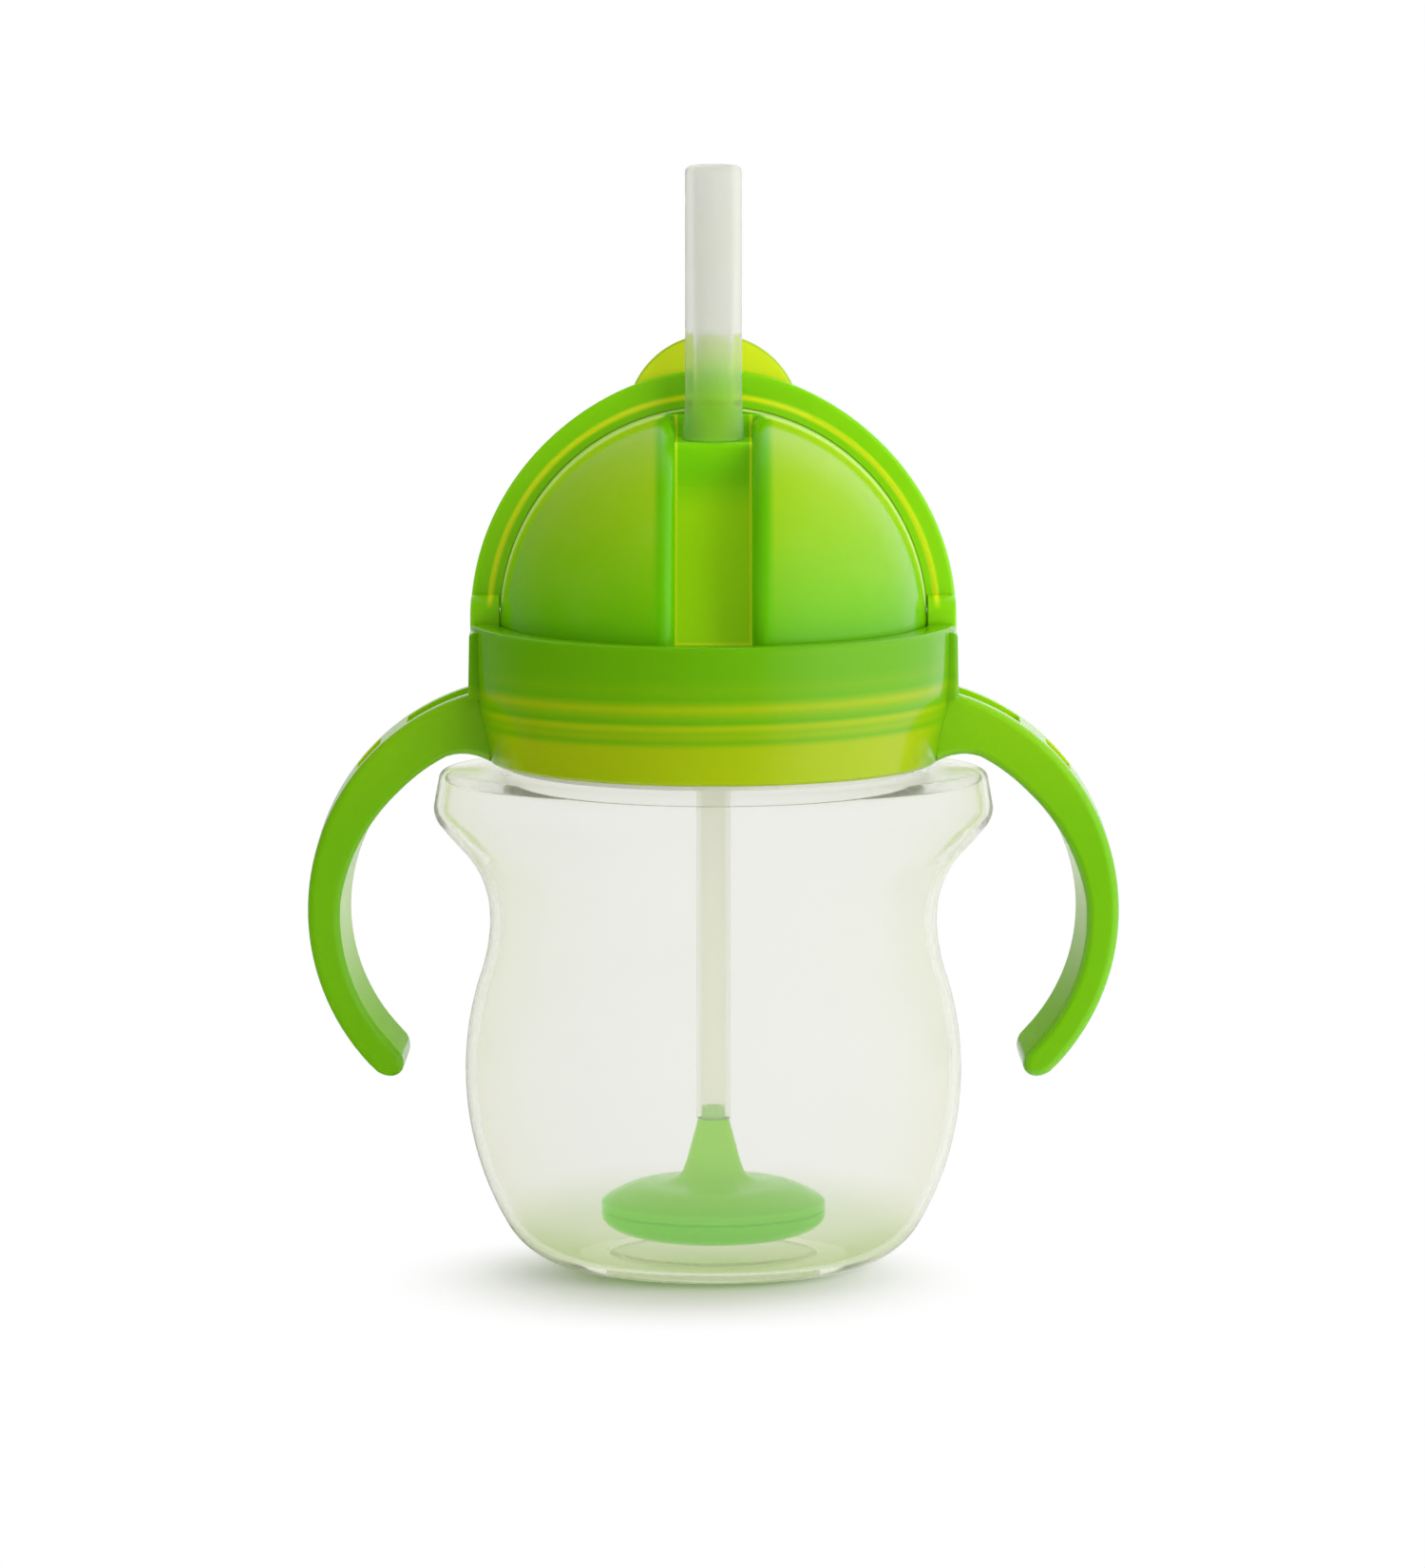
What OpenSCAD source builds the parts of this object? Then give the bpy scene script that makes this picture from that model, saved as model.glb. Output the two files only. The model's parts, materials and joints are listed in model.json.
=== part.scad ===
// Trainer cup with a screw lid, two open handles, a turning shutter and a weighted drinking straw.
// Origin at the middle of the cup's base, +Z up, the drinking side faces -Y. Sizes in millimetres.

/* [Cup] */
// Radius of the belly at its widest
belly_r = 42; // [40:0.5:52]
// Height of the belly's widest line
belly_z = 33; // [27:0.5:40]
// Radius of the curve that runs down from the belly to the foot
lower_curve_r = 52; // [43:0.5:64]
// Radius of the rounded edge between side and base
foot_edge_r = 14; // [9:0.5:18]
// Radius of the shallow recess under the base
foot_recess_r = 17; // [10:0.5:21]
// Depth of the recess under the base
foot_recess = 0.5; // [0.2:0.1:0.9]
// Radius of the cup at its waist
waist_r = 37.8; // [31:0.1:39]
// Height of the waist above the belly's widest line
waist_rise = 26; // [21:0.5:32]
// Share of the side's S-curve that bulges outward
bulge_share = 0.63; // [0.45:0.01:0.75]
// Radius of the hollow curve above the waist
flare_curve_r = 17; // [13:0.5:21]
// Steepest lean of the flare under the shoulder ears
flare_angle = 43; // [35:1:52]
// Reach of each shoulder ear from the axis
ear_reach = 47.5; // [44.5:0.1:49]
// Radius of the ear's lower edge
ear_edge_r = 4; // [3:0.1:5]
// Inward lean of the ear's upper edge
ear_lean = 1.1; // [0.4:0.1:2]
// Radius of the ear's upper edge
ear_top_r = 1.4; // [0.8:0.1:2]
// Distance past the ear's edge at which the shoulder's two plan arcs would meet
ear_point = 0.9; // [0.5:0.1:1.5]
// Step of the shoulder's front past the neck
shoulder_step = 3.6; // [2.5:0.1:4.5]
// Height of the shoulder's flat top above the waist
shoulder_rise = 25; // [20.8:0.1:30]
// Wall of the cup
cup_wall = 1.8; // [1.4:0.1:2.2]

/* [Neck and thread] */
// Outer radius of the neck
neck_r = 35; // [29:0.1:42]
// Height of the neck above the shoulder
neck_h = 18; // [16:0.1:22]
// Pitch of the screw thread
thread_pitch = 4.5; // [3.8:0.1:5.4]
// Turns of thread on the neck
thread_turns = 2; // [1.5:0.25:2.25]
// Distance of the neck thread's upper end below the rim
thread_drop = 3; // [2:0.1:4]
// Height of a thread tooth above its root
thread_depth = 1.4; // [1:0.1:1.6]
// Width of a thread tooth at its root
tooth_root_w = 1.7; // [1.4:0.05:1.9]
// Width of a thread tooth at its crest
tooth_crest_w = 0.9; // [0.6:0.05:1.2]
// Radial clearance between the two threads
thread_clearance = 0.5; // [0.35:0.05:0.7]

/* [Seal] */
// Thickness of the seal ring
seal_t = 1.55; // [1.2:0.05:2]
// Clearance between the seal ring and the lid
seal_clearance = 0.05; // [0.02:0.01:0.1]
// Overlap of the seal ring past the neck's bore
seal_lip = 0.4; // [0.2:0.1:1]

/* [Collar] */
// Gap between the shoulder and the collar's lower edge
collar_gap = 1.8; // [1.2:0.1:2.4]
// Wall of the collar over the thread at its lower edge
collar_wall = 1.3; // [1:0.1:2]
// Outward taper of the collar, lower edge to top edge
collar_taper = 2.8; // [2:0.1:4]
// Thickness of the web that carries the dome
web_t = 1.6; // [1.2:0.1:2.2]
// Land of the web inside the foot of the straw channel
web_land = 2.5; // [2.2:0.1:4]
// Height of the collar's top edge above the web
collar_lip = 4; // [3:0.1:5]

/* [Handles] */
// Distance of the outer arc's centre inside the collar's lower edge
handle_outer_inset = 8.2; // [5:0.1:10]
// Drop of the outer arc's centre below the collar
handle_outer_drop = 25; // [22:0.1:28]
// Radius of the outer arc
handle_outer_r = 38.4; // [37.6:0.1:46]
// Distance of the grip arc's centre inside the collar's lower edge
handle_grip_inset = 7.2; // [4:0.1:9]
// Drop of the grip arc's centre below the collar
handle_grip_drop = 25.8; // [23:0.1:28]
// Radius of the grip arc
handle_grip_r = 30.4; // [28:0.1:31]
// Depth of a handle, front to back
handle_depth = 16; // [12:0.5:20]
// Rounding of a handle's long edges
handle_edge_r = 2.2; // [1:0.1:2.8]
// Angle below level at which a handle ends
handle_end_angle = 45; // [35:1:55]
// Width of the hollows in a handle's back
hollow_w = 9; // [6:0.5:10]
// Depth of the hollows in a handle's back
hollow_depth = 3; // [1.5:0.1:4]

/* [Dome and channel] */
// Wall of the dome
dome_wall = 1.8; // [1.4:0.1:2.2]
// Play of the straw's flare in its channel, on each side
channel_play = 1.05; // [0.6:0.05:2]
// Depth of the straw's ledge below the dome's top
ledge_drop = 5; // [4:0.1:7]
// Setback of the ledge's front edge from the straw's flare
ledge_lip = 0.35; // [0.2:0.05:0.8]
// Drop from the ledge to where the channel's floor starts to slope
knee_drop = 7; // [5:0.1:12]
// Depth of the channel where its floor meets the web
channel_depth = 10; // [8:0.1:12]
// Wall of a pivot boss around its bore
boss_wall = 1.85; // [1.5:0.05:2.5]
// Clearance around a pivot boss and the dome's foot
seat_clearance = 0.3; // [0.2:0.05:0.5]

/* [Shutter] */
// Clearance between the dome and the shutter's rim
rim_clearance = 0.8; // [0.5:0.1:1.2]
// Width of the shutter's front rim
rim_w = 4.2; // [3.4:0.1:5]
// Wall of the shutter
shutter_wall = 2; // [1.5:0.1:2.4]
// Depth of the thick front rim
rim_depth = 3; // [2:0.1:4]
// Clearance between the shutter's edges and the collar
shutter_clearance = 0.3; // [0.2:0.05:0.5]
// Radius of a pivot disc
disc_r = 10.5; // [9.5:0.1:11]
// Thickness of a pivot disc
disc_t = 2; // [1.5:0.1:2.2]
// Radius of a pivot pin
pin_r = 2.5; // [2:0.1:3]
// Length of a pivot pin
pin_l = 5.4; // [4:0.1:6]
// Running clearance of a pivot pin
pin_clearance = 0.05; // [0.02:0.01:0.08]
// Half width of the thumb tab at the shutter's skin
tab_half_w = 13.7; // [11:0.1:16]
// Height of the thumb tab above the shutter's skin
tab_h = 7; // [5:0.1:9]
// Thickness of the thumb tab
tab_t = 1.8; // [1.4:0.1:2.4]

/* [Straw, tube and weight] */
// Distance of the straw's axis in front of the cup's axis
straw_y = 6.5; // [5.5:0.1:7]
// Outer radius of the drinking straw
straw_r = 4.75; // [4.2:0.05:5.7]
// Bore radius of the drinking straw
straw_bore_r = 3; // [2.4:0.05:3.4]
// Length of the drinking straw above its ledge
straw_l = 46; // [38:0.5:56]
// Flare of the straw at its ledge, beyond its radius
straw_flare = 0.6; // [0.3:0.05:0.8]
// Height of the straw's flare
straw_flare_h = 3; // [2:0.1:4]
// Radius of the straw's stem in its socket
stem_r = 3.6; // [3.2:0.05:3.8]
// Length of the straw's stem
stem_l = 12; // [10:0.5:14]
// Bore radius of the straw's stem
stem_bore_r = 2.2; // [1.8:0.05:2.4]
// Wall of the socket that holds straw and tube
socket_wall = 2; // [1.6:0.1:2.4]
// Clearance of straw and tube in the socket
socket_clearance = 0.05; // [0.03:0.01:0.1]
// Thickness of the stop between straw and tube
socket_stop = 5; // [3:0.5:7]
// Outer radius of the drop tube
tube_r = 2.85; // [2.5:0.05:3.1]
// Bore radius of the drop tube
tube_bore_r = 2; // [1.7:0.05:2.1]
// Length of the drop tube inside the socket
tube_plug_l = 10; // [7:0.5:12]
// Radius of the weight
weight_r = 18.9; // [16:0.1:20]
// Height of the weight's underside
weight_z = 4; // [3.6:0.1:6]
// Height of the weight's parting line above its underside
weight_part_h = 4.4; // [4:0.1:5.5]
// Height of the weight's vertical rim above the parting line
weight_rim_h = 1.6; // [1:0.1:2.5]
// Radius of the intake neck at its foot
intake_foot_r = 6; // [5.5:0.1:7.5]
// Height of the intake neck's foot above the parting line
intake_foot_h = 6; // [5:0.1:7]
// Height of the intake neck above its foot
intake_neck_h = 9.6; // [7:0.1:14]
// Length of the spigot inside the drop tube
spigot_l = 8; // [5:0.5:10]
// Radius of the steel slug
slug_r = 13; // [10.5:0.1:15.6]
// Thickness of the steel slug
slug_t = 4; // [3:0.1:4.6]
// Play of the slug in its pocket
slug_play = 0.1; // [0.05:0.05:0.3]

/* [Hidden] */
$fn = 96;
// Overshoot of a cutter past the face it cuts
over = 1;
// Rounding of small edges, and the chamfer under the collar
edge_r = 0.8;
collar_chamfer = 0.5;

green = [0.45, 0.74, 0.05];
milky = [0.90, 0.92, 0.86];
frosted = [0.92, 0.93, 0.91, 0.45];

waist_z = belly_z + waist_rise;
shoulder_z = waist_z + shoulder_rise;
rim_z = shoulder_z + neck_h;
// Cup side: two tangent arcs from the belly up to the waist
s_curve_r = ((waist_z - belly_z) ^ 2 + (belly_r - waist_r) ^ 2) / (2 * (belly_r - waist_r));
bulge_r = s_curve_r * bulge_share;
hollow_r = s_curve_r - bulge_r;
s_angle = asin((waist_z - belly_z) / s_curve_r);
// Cup foot: arc tangent to the base and to the lower curve
lower_x = belly_r - lower_curve_r;
foot_x = lower_x + sqrt((lower_curve_r - foot_edge_r) ^ 2 - (belly_z - foot_edge_r) ^ 2);
foot_angle = -asin((belly_z - foot_edge_r) / (lower_curve_r - foot_edge_r));
// Shoulder ear: flare line tangent to the hollow curve and to the ear's lower edge
flare_x = waist_r + flare_curve_r * (1 - cos(flare_angle));
flare_z = waist_z + flare_curve_r * sin(flare_angle);
ear_x = ear_reach - ear_edge_r;
ear_z = flare_z + (ear_x + ear_edge_r * cos(flare_angle) - flare_x) / tan(flare_angle)
        + ear_edge_r * sin(flare_angle);
ear_top_x = ear_reach - ear_lean - ear_top_r;
// Plan of the shoulder: a lens of two arcs that meet at the ears
shoulder_half_depth = neck_r + shoulder_step;
lens_r = ((ear_reach + ear_point) ^ 2 + shoulder_half_depth ^ 2) / (2 * shoulder_half_depth);
lens_y = lens_r - shoulder_half_depth;

// Thread: straight steps in a turn, steps over which an end fades, tooth left at the very end, sunk root
thread_steps = 36;
thread_fade = 4;
thread_end = 0.3;
thread_sink = 0.4;

thread_z = rim_z - thread_drop - thread_pitch * thread_turns;

neck_bore_r = neck_r - cup_wall;
crest_r = neck_r + thread_depth;
collar_bore_r = crest_r + thread_clearance;
lid_crest_r = collar_bore_r - thread_depth;
web_z = rim_z + seal_t + seal_clearance;
seat_z = web_z + web_t;
lip_z = seat_z + collar_lip;
collar_z = shoulder_z + collar_gap;
collar_foot_r = collar_bore_r + collar_wall;
collar_top_r = collar_foot_r + collar_taper;
// The shutter turns about the X line through this height
pivot_z = lip_z + shutter_clearance;

// The shutter is flush with the collar's top edge, and the dome lies inside its rim
shutter_r = collar_top_r;
skin_r = shutter_r - shutter_wall;
rim_r = shutter_r - rim_w;
dome_r = rim_r - rim_clearance;
dome_bore_r = dome_r - dome_wall;
channel_foot_y = dome_r - channel_depth;
web_hole_r = channel_foot_y - web_land;
ledge_h = dome_r - ledge_drop;
ledge_z = pivot_z + ledge_h;
channel_knee_h = ledge_h - knee_drop;
straw_flare_r = straw_r + straw_flare;
channel_w = 2 * (straw_flare_r + channel_play);
ledge_front = straw_y + straw_flare_r + ledge_lip;
ledge_back = straw_y - straw_flare_r - ledge_lip;
socket_r = stem_r + socket_clearance + socket_wall;
stem_z = ledge_z - stem_l;
plug_z = stem_z - socket_stop;
socket_z = plug_z - tube_plug_l;

// How far a pivot disc's inner face lies outside the shutter's skin, and a boss behind its pocket
disc_sink = 0.4;
boss_setback = 0.2;
boss_r = pin_r + pin_clearance + boss_wall;
disc_x = skin_r + disc_sink;
pocket_x = disc_x - seat_clearance;
boss_x = pocket_x - boss_setback;
pin_end_x = disc_x - pin_l;
tab_rise = shutter_r + tab_h - sqrt(shutter_r ^ 2 - tab_half_w ^ 2);
tab_r = (tab_half_w ^ 2 + tab_rise ^ 2) / (2 * tab_rise);
// Fine line in the front rim
rim_groove_share = 0.55;
rim_groove_r = rim_r + rim_groove_share * (shutter_r - rim_r);
rim_groove_w = 0.5;
rim_groove_depth = 0.5;
far_box = 3 * shutter_r;

handle_outer_x = collar_foot_r - handle_outer_inset;
handle_outer_z = collar_z - handle_outer_drop;
handle_grip_x = collar_foot_r - handle_grip_inset;
handle_grip_z = collar_z - handle_grip_drop;
grip_to_outer = [handle_grip_x - handle_outer_x, handle_grip_z - handle_outer_z];
end_dir = [cos(handle_end_angle), -sin(handle_end_angle)];
end_along = -(grip_to_outer * end_dir) + sqrt((grip_to_outer * end_dir) ^ 2
            + handle_outer_r ^ 2 - grip_to_outer * grip_to_outer);
end_t = (end_along - handle_grip_r) / 2;
end_mid = handle_grip_r + end_t;
// How far a handle's round end stands proud of its arcs
end_bulge = 0.15;
// Start and end angles of the hollows in a handle's back, with a rib between them
hollow_angles = [[38, 47], [55.5, 74]];

part_z = weight_z + weight_part_h;
neck_foot_z = part_z + intake_foot_h;
tube_end_z = neck_foot_z + intake_neck_h;
spigot_r = tube_bore_r - socket_clearance;
// Intake: bore through the spigot, and slots around the neck's foot
intake_r = 1.2;
intake_slots = 3;
intake_slot_w = 2;
slug_z = part_z - slug_t / 2;
weight_edge_r = 2.6;

// Points of an arc in a half section, from angle a0 to a1
function arc(c, r, a0, a1, n = 12) = [for (i = [0 : n]) c + r * [cos(a0 + (a1 - a0) * i / n),
                                                                  sin(a0 + (a1 - a0) * i / n)]];

// Half section of the cup from the base to the waist, drawn inward by the wall t
function lower_section(t) = concat(
    [[0, t]],
    arc([foot_x, foot_edge_r], foot_edge_r - t, -90, foot_angle),
    arc([lower_x, belly_z], lower_curve_r - t, foot_angle, 0),
    arc([belly_r - bulge_r, belly_z], bulge_r - t, 0, s_angle),
    arc([waist_r + hollow_r, waist_z], hollow_r + t, 180 + s_angle, 180),
    [[0, waist_z]]);

// Half section of the shoulder from the waist to the flat top, drawn inward by the wall t
function upper_section(t) = concat(
    [[0, waist_z]],
    arc([waist_r + flare_curve_r, waist_z], flare_curve_r + t, 180, 180 - flare_angle),
    arc([ear_x, ear_z], ear_edge_r - t, -flare_angle, 0, 6),
    t > 0 ? [[ear_top_x + ear_top_r - t, shoulder_z - t]]
          : arc([ear_top_x, shoulder_z - ear_top_r], ear_top_r, 0, 90, 4),
    [[0, shoulder_z - t]]);

// Lens-shaped plan of the shoulder, drawn inward by the wall t
module shoulder_lens(t) {
    intersection_for (side = [-1, 1])
        translate([0, side * lens_y, waist_z - over])
            cylinder(r = lens_r - t, h = shoulder_z - waist_z + 2 * over);
}

module cup_volume(t) {
    rotate_extrude() polygon(lower_section(t));
    intersection() {
        rotate_extrude() polygon(upper_section(t));
        shoulder_lens(t);
    }
}

// Helical tooth from a root radius to a tip radius, fading out over its first and last steps
module thread(root_r, tip_r, z0, turns) {
    inward = root_r > tip_r;
    n = round(thread_steps * turns);
    sunk_r = root_r + (inward ? thread_sink : -thread_sink);
    function reach(i) = root_r + (tip_r - root_r) * min(1, (min(i, n - i) + thread_end) / thread_fade);
    function ring(i) =
        let (a = 360 * i / thread_steps, z = z0 + thread_pitch * i / thread_steps, r = reach(i))
        [for (p = [[sunk_r, -tooth_root_w], [r, -tooth_crest_w],
                   [r, tooth_crest_w], [sunk_r, tooth_root_w]])
            [p[0] * cos(a), p[0] * sin(a), z + p[1] / 2]];
    points = [for (i = [0 : n]) each ring(i)];
    sides = [for (i = [0 : n - 1], k = [0 : 3]) let (a = 4 * i + k, b = 4 * i + (k + 1) % 4)
        each [[a, b, b + 4], [a, b + 4, a + 4]]];
    ends = [[0, 2, 1], [0, 3, 2], [4 * n, 4 * n + 1, 4 * n + 2], [4 * n, 4 * n + 2, 4 * n + 3]];
    polyhedron(points, [for (f = concat(sides, ends)) inward ? [f[2], f[1], f[0]] : f]);
}

module cup_body() color(frosted) {
    difference() {
        union() {
            cup_volume(0);
            translate([0, 0, shoulder_z - over]) cylinder(r = neck_r, h = rim_z - shoulder_z + over);
        }
        cup_volume(cup_wall);
        translate([0, 0, shoulder_z - cup_wall - over])
            cylinder(r = neck_bore_r, h = rim_z - shoulder_z + cup_wall + 2 * over);
        translate([0, 0, -over]) cylinder(r = foot_recess_r, h = foot_recess + over);
    }
    thread(neck_r, crest_r, thread_z, thread_turns);
}

module seal_ring() color(milky)
    translate([0, 0, rim_z])
        difference() {
            cylinder(r = crest_r, h = seal_t);
            translate([0, 0, -over]) cylinder(r = neck_bore_r - seal_lip, h = seal_t + 2 * over);
        }

// Places a shape drawn about its own Z on the Y line through (x, z)
module on_y_line(x, z) {
    translate([x, 0, z]) rotate([90, 0, 0]) children();
}

// Places a shape drawn about its own Z on the pivot line, on both sides of the lid
module on_both_pivots() {
    for (side = [0, 1]) mirror([side, 0, 0]) translate([0, 0, pivot_z]) rotate([0, 90, 0]) children();
}

// Round plate with rounded rims
module rounded_plate(r, depth, edge) {
    rotate_extrude()
        polygon(concat([[0, -depth / 2]], arc([r - edge, edge - depth / 2], edge, -90, 0, 5),
                       arc([r - edge, depth / 2 - edge], edge, 0, 90, 5), [[0, depth / 2]]));
}

// Cutter for a round opening whose rims are rounded
module rounded_opening(r, depth, edge) {
    rotate_extrude()
        polygon(concat([[0, -depth / 2 - over], [r + edge, -depth / 2 - over]],
                       arc([r + edge, edge - depth / 2], edge, 262, 180, 5),
                       arc([r + edge, depth / 2 - edge], edge, 180, 98, 5),
                       [[r + edge, depth / 2 + over], [0, depth / 2 + over]]));
}

module handle() {
    far = 2 * handle_outer_r;
    difference() {
        intersection() {
            on_y_line(handle_outer_x, handle_outer_z)
                rounded_plate(handle_outer_r, handle_depth, handle_edge_r);
            on_y_line(0, 0) linear_extrude(handle_depth + 2 * over, center = true)
                polygon([[handle_grip_x, handle_grip_z],
                         [handle_grip_x, handle_grip_z] + far * end_dir,
                         [far + handle_outer_x, handle_grip_z],
                         [far + handle_outer_x, handle_grip_z + far],
                         [collar_bore_r - over, handle_grip_z + far],
                         [collar_bore_r - over, handle_grip_z]]);
        }
        on_y_line(handle_grip_x, handle_grip_z)
            rounded_opening(handle_grip_r, handle_depth, handle_edge_r);
        for (a = hollow_angles) on_y_line(handle_outer_x, handle_outer_z) rotate([0, 0, a[0]])
            rotate_extrude(angle = a[1] - a[0])
                translate([handle_outer_r - hollow_depth, -hollow_w / 2])
                    square([hollow_depth + over, hollow_w]);
    }
    on_y_line(handle_grip_x + end_mid * end_dir[0], handle_grip_z + end_mid * end_dir[1])
        rounded_plate(end_t + end_bulge, handle_depth - 2 * end_bulge, handle_edge_r);
}

module lid_collar() color(green) {
    difference() {
        union() {
            rotate_extrude() polygon(concat([[0, collar_z], [collar_foot_r - collar_chamfer, collar_z],
                                             [collar_foot_r, collar_z + collar_chamfer]],
                arc([collar_top_r - edge_r, lip_z - edge_r], edge_r, 0, 90, 4), [[0, lip_z]]));
            for (side = [0, 1]) mirror([side, 0, 0]) handle();
        }
        translate([0, 0, collar_z - over]) cylinder(r = collar_bore_r, h = web_z - collar_z + over);
        translate([0, 0, web_z - over]) cylinder(r = web_hole_r, h = web_t + 2 * over);
        translate([0, 0, seat_z]) cylinder(r = dome_r + seat_clearance, h = collar_lip + over);
        intersection() {
            on_both_pivots() translate([0, 0, web_hole_r])
                cylinder(r = boss_r + seat_clearance, h = shutter_r - web_hole_r + 2 * over);
            translate([-far_box / 2, -far_box / 2, seat_z]) cube([far_box, far_box, collar_lip + over]);
        }
        on_both_pivots() translate([0, 0, pocket_x])
            cylinder(r = disc_r + 2 * seat_clearance, h = disc_t + 4 * over);
    }
    rotate([0, 0, 180]) thread(collar_bore_r, lid_crest_r, thread_z, thread_turns - 0.5);
}

// Side section of the straw channel, with its floor sunk by t
function channel_section(t) = [[-ledge_back + t, 2 * dome_r], [-ledge_back + t, ledge_h - t],
    [-ledge_front + t, ledge_h - t], [-ledge_front + t, channel_knee_h],
    [t - channel_foot_y, seat_z - pivot_z],
    [-2 * dome_r, seat_z - pivot_z], [-2 * dome_r, 2 * dome_r]];

module channel(t) {
    w = channel_w + 2 * t;
    translate([-w / 2, 0, pivot_z]) rotate([90, 0, 90]) linear_extrude(w) polygon(channel_section(t));
}

// Ball of the dome, cut flat where it stands on the web
module dome_volume(r) {
    intersection() {
        translate([0, 0, pivot_z]) sphere(r = r);
        translate([-far_box / 2, -far_box / 2, seat_z]) cube([far_box, far_box, far_box]);
    }
}

module lid_dome() color(green)
    difference() {
        union() {
            difference() {
                dome_volume(dome_r);
                dome_volume(dome_bore_r);
            }
            intersection() {
                dome_volume(dome_r);
                channel(dome_wall);
            }
            intersection() {
                on_both_pivots() translate([0, 0, pin_end_x - dome_wall])
                    cylinder(r = boss_r, h = boss_x - pin_end_x + dome_wall);
                translate([-far_box / 2, -far_box / 2, seat_z]) cube([far_box, far_box, far_box]);
            }
            translate([0, -straw_y, socket_z]) cylinder(r = socket_r, h = ledge_z - socket_z);
        }
        channel(0);
        on_both_pivots() translate([0, 0, pin_end_x - seat_clearance])
            cylinder(r = pin_r + pin_clearance, h = pin_l + over);
        translate([0, -straw_y, 0]) {
            translate([0, 0, stem_z]) cylinder(r = stem_r + socket_clearance, h = stem_l + over);
            translate([0, 0, plug_z - over]) cylinder(r = tube_bore_r, h = socket_stop + 2 * over);
            translate([0, 0, socket_z - over])
                cylinder(r = tube_r + socket_clearance, h = tube_plug_l + over);
        }
    }

module shutter() color(green) {
    difference() {
        union() {
            intersection() {
                translate([0, 0, pivot_z]) difference() {
                    sphere(r = shutter_r);
                    sphere(r = skin_r);
                }
                shutter_sector(far_box);
            }
            intersection() {
                translate([0, 0, pivot_z]) difference() {
                    sphere(r = shutter_r);
                    sphere(r = rim_r);
                }
                shutter_sector(rim_depth);
            }
            difference() {
                on_y_line(0, pivot_z + shutter_r + tab_h - tab_r)
                    translate([0, 0, -shutter_clearance - rim_depth - tab_t / 2])
                        cylinder(r = tab_r, h = tab_t);
                translate([0, 0, pivot_z]) sphere(r = (skin_r + shutter_r) / 2);
            }
        }
        on_both_pivots() cylinder(r = boss_r + 2 * seat_clearance, h = disc_x);
        on_y_line(0, pivot_z) translate([0, 0, -shutter_clearance - rim_groove_depth])
            difference() {
                cylinder(r = rim_groove_r + rim_groove_w / 2, h = rim_groove_depth + over);
                translate([0, 0, -over])
                    cylinder(r = rim_groove_r - rim_groove_w / 2, h = rim_groove_depth + 3 * over);
            }
    }
    on_both_pivots() {
        translate([0, 0, disc_x]) cylinder(r = disc_r, h = disc_t);
        translate([0, 0, pin_end_x]) cylinder(r = pin_r, h = pin_l + disc_t / 2);
    }
}

// Back quarter of the space above the pivot line, to a depth behind the shutter's front face
module shutter_sector(depth) {
    translate([-far_box / 2, shutter_clearance, pivot_z + shutter_clearance])
        cube([far_box, depth, far_box]);
}

module spout_straw() color(milky)
    translate([0, -straw_y, 0]) difference() {
        union() {
            translate([0, 0, ledge_z]) rotate_extrude()
                polygon(concat([[0, 0], [straw_flare_r, 0], [straw_r, straw_flare_h]],
                               arc([straw_r - edge_r, straw_l - edge_r], edge_r, 0, 90, 4),
                               [[0, straw_l]]));
            translate([0, 0, stem_z]) cylinder(r = stem_r, h = stem_l + over);
        }
        translate([0, 0, ledge_z]) cylinder(r = straw_bore_r, h = straw_l + over);
        translate([0, 0, stem_z - over]) cylinder(r = stem_bore_r, h = stem_l + 2 * over);
    }

module drop_tube() color(milky)
    translate([0, -straw_y, tube_end_z]) difference() {
        cylinder(r = tube_r, h = plug_z - tube_end_z);
        translate([0, 0, -over]) cylinder(r = tube_bore_r, h = plug_z - tube_end_z + 2 * over);
    }

module slug_pocket() {
    translate([0, -straw_y, slug_z - slug_play])
        cylinder(r = slug_r + slug_play, h = slug_t + 2 * slug_play);
}

module weight_cap() color(green)
    difference() {
        translate([0, -straw_y, 0]) {
            rotate_extrude() polygon([[0, part_z], [weight_r, part_z], [weight_r, part_z + weight_rim_h],
                [intake_foot_r, neck_foot_z], [tube_r, tube_end_z], [0, tube_end_z]]);
            translate([0, 0, tube_end_z - over]) cylinder(r = spigot_r, h = spigot_l + over);
        }
        slug_pocket();
        translate([0, -straw_y, neck_foot_z]) {
            cylinder(r = intake_r, h = tube_end_z + spigot_l - neck_foot_z + over);
            for (i = [0 : intake_slots - 1]) rotate([0, 0, 90 + 360 * i / intake_slots])
                translate([0, -intake_slot_w / 2, 0])
                    cube([intake_foot_r + over, intake_slot_w, intake_slot_w]);
        }
    }

module weight_base() color(green)
    difference() {
        translate([0, -straw_y, 0]) rotate_extrude()
            polygon(concat([[0, weight_z]],
                           arc([weight_r - weight_edge_r, weight_z + weight_edge_r],
                               weight_edge_r, -90, 0, 6),
                           [[weight_r, part_z], [0, part_z]]));
        slug_pocket();
    }

module weight_slug() color("silver")
    translate([0, -straw_y, slug_z]) cylinder(r = slug_r, h = slug_t);

cup_body();
seal_ring();
lid_collar();
lid_dome();
shutter();
spout_straw();
drop_tube();
weight_cap();
weight_base();
weight_slug();
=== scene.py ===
import json
import math

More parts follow.
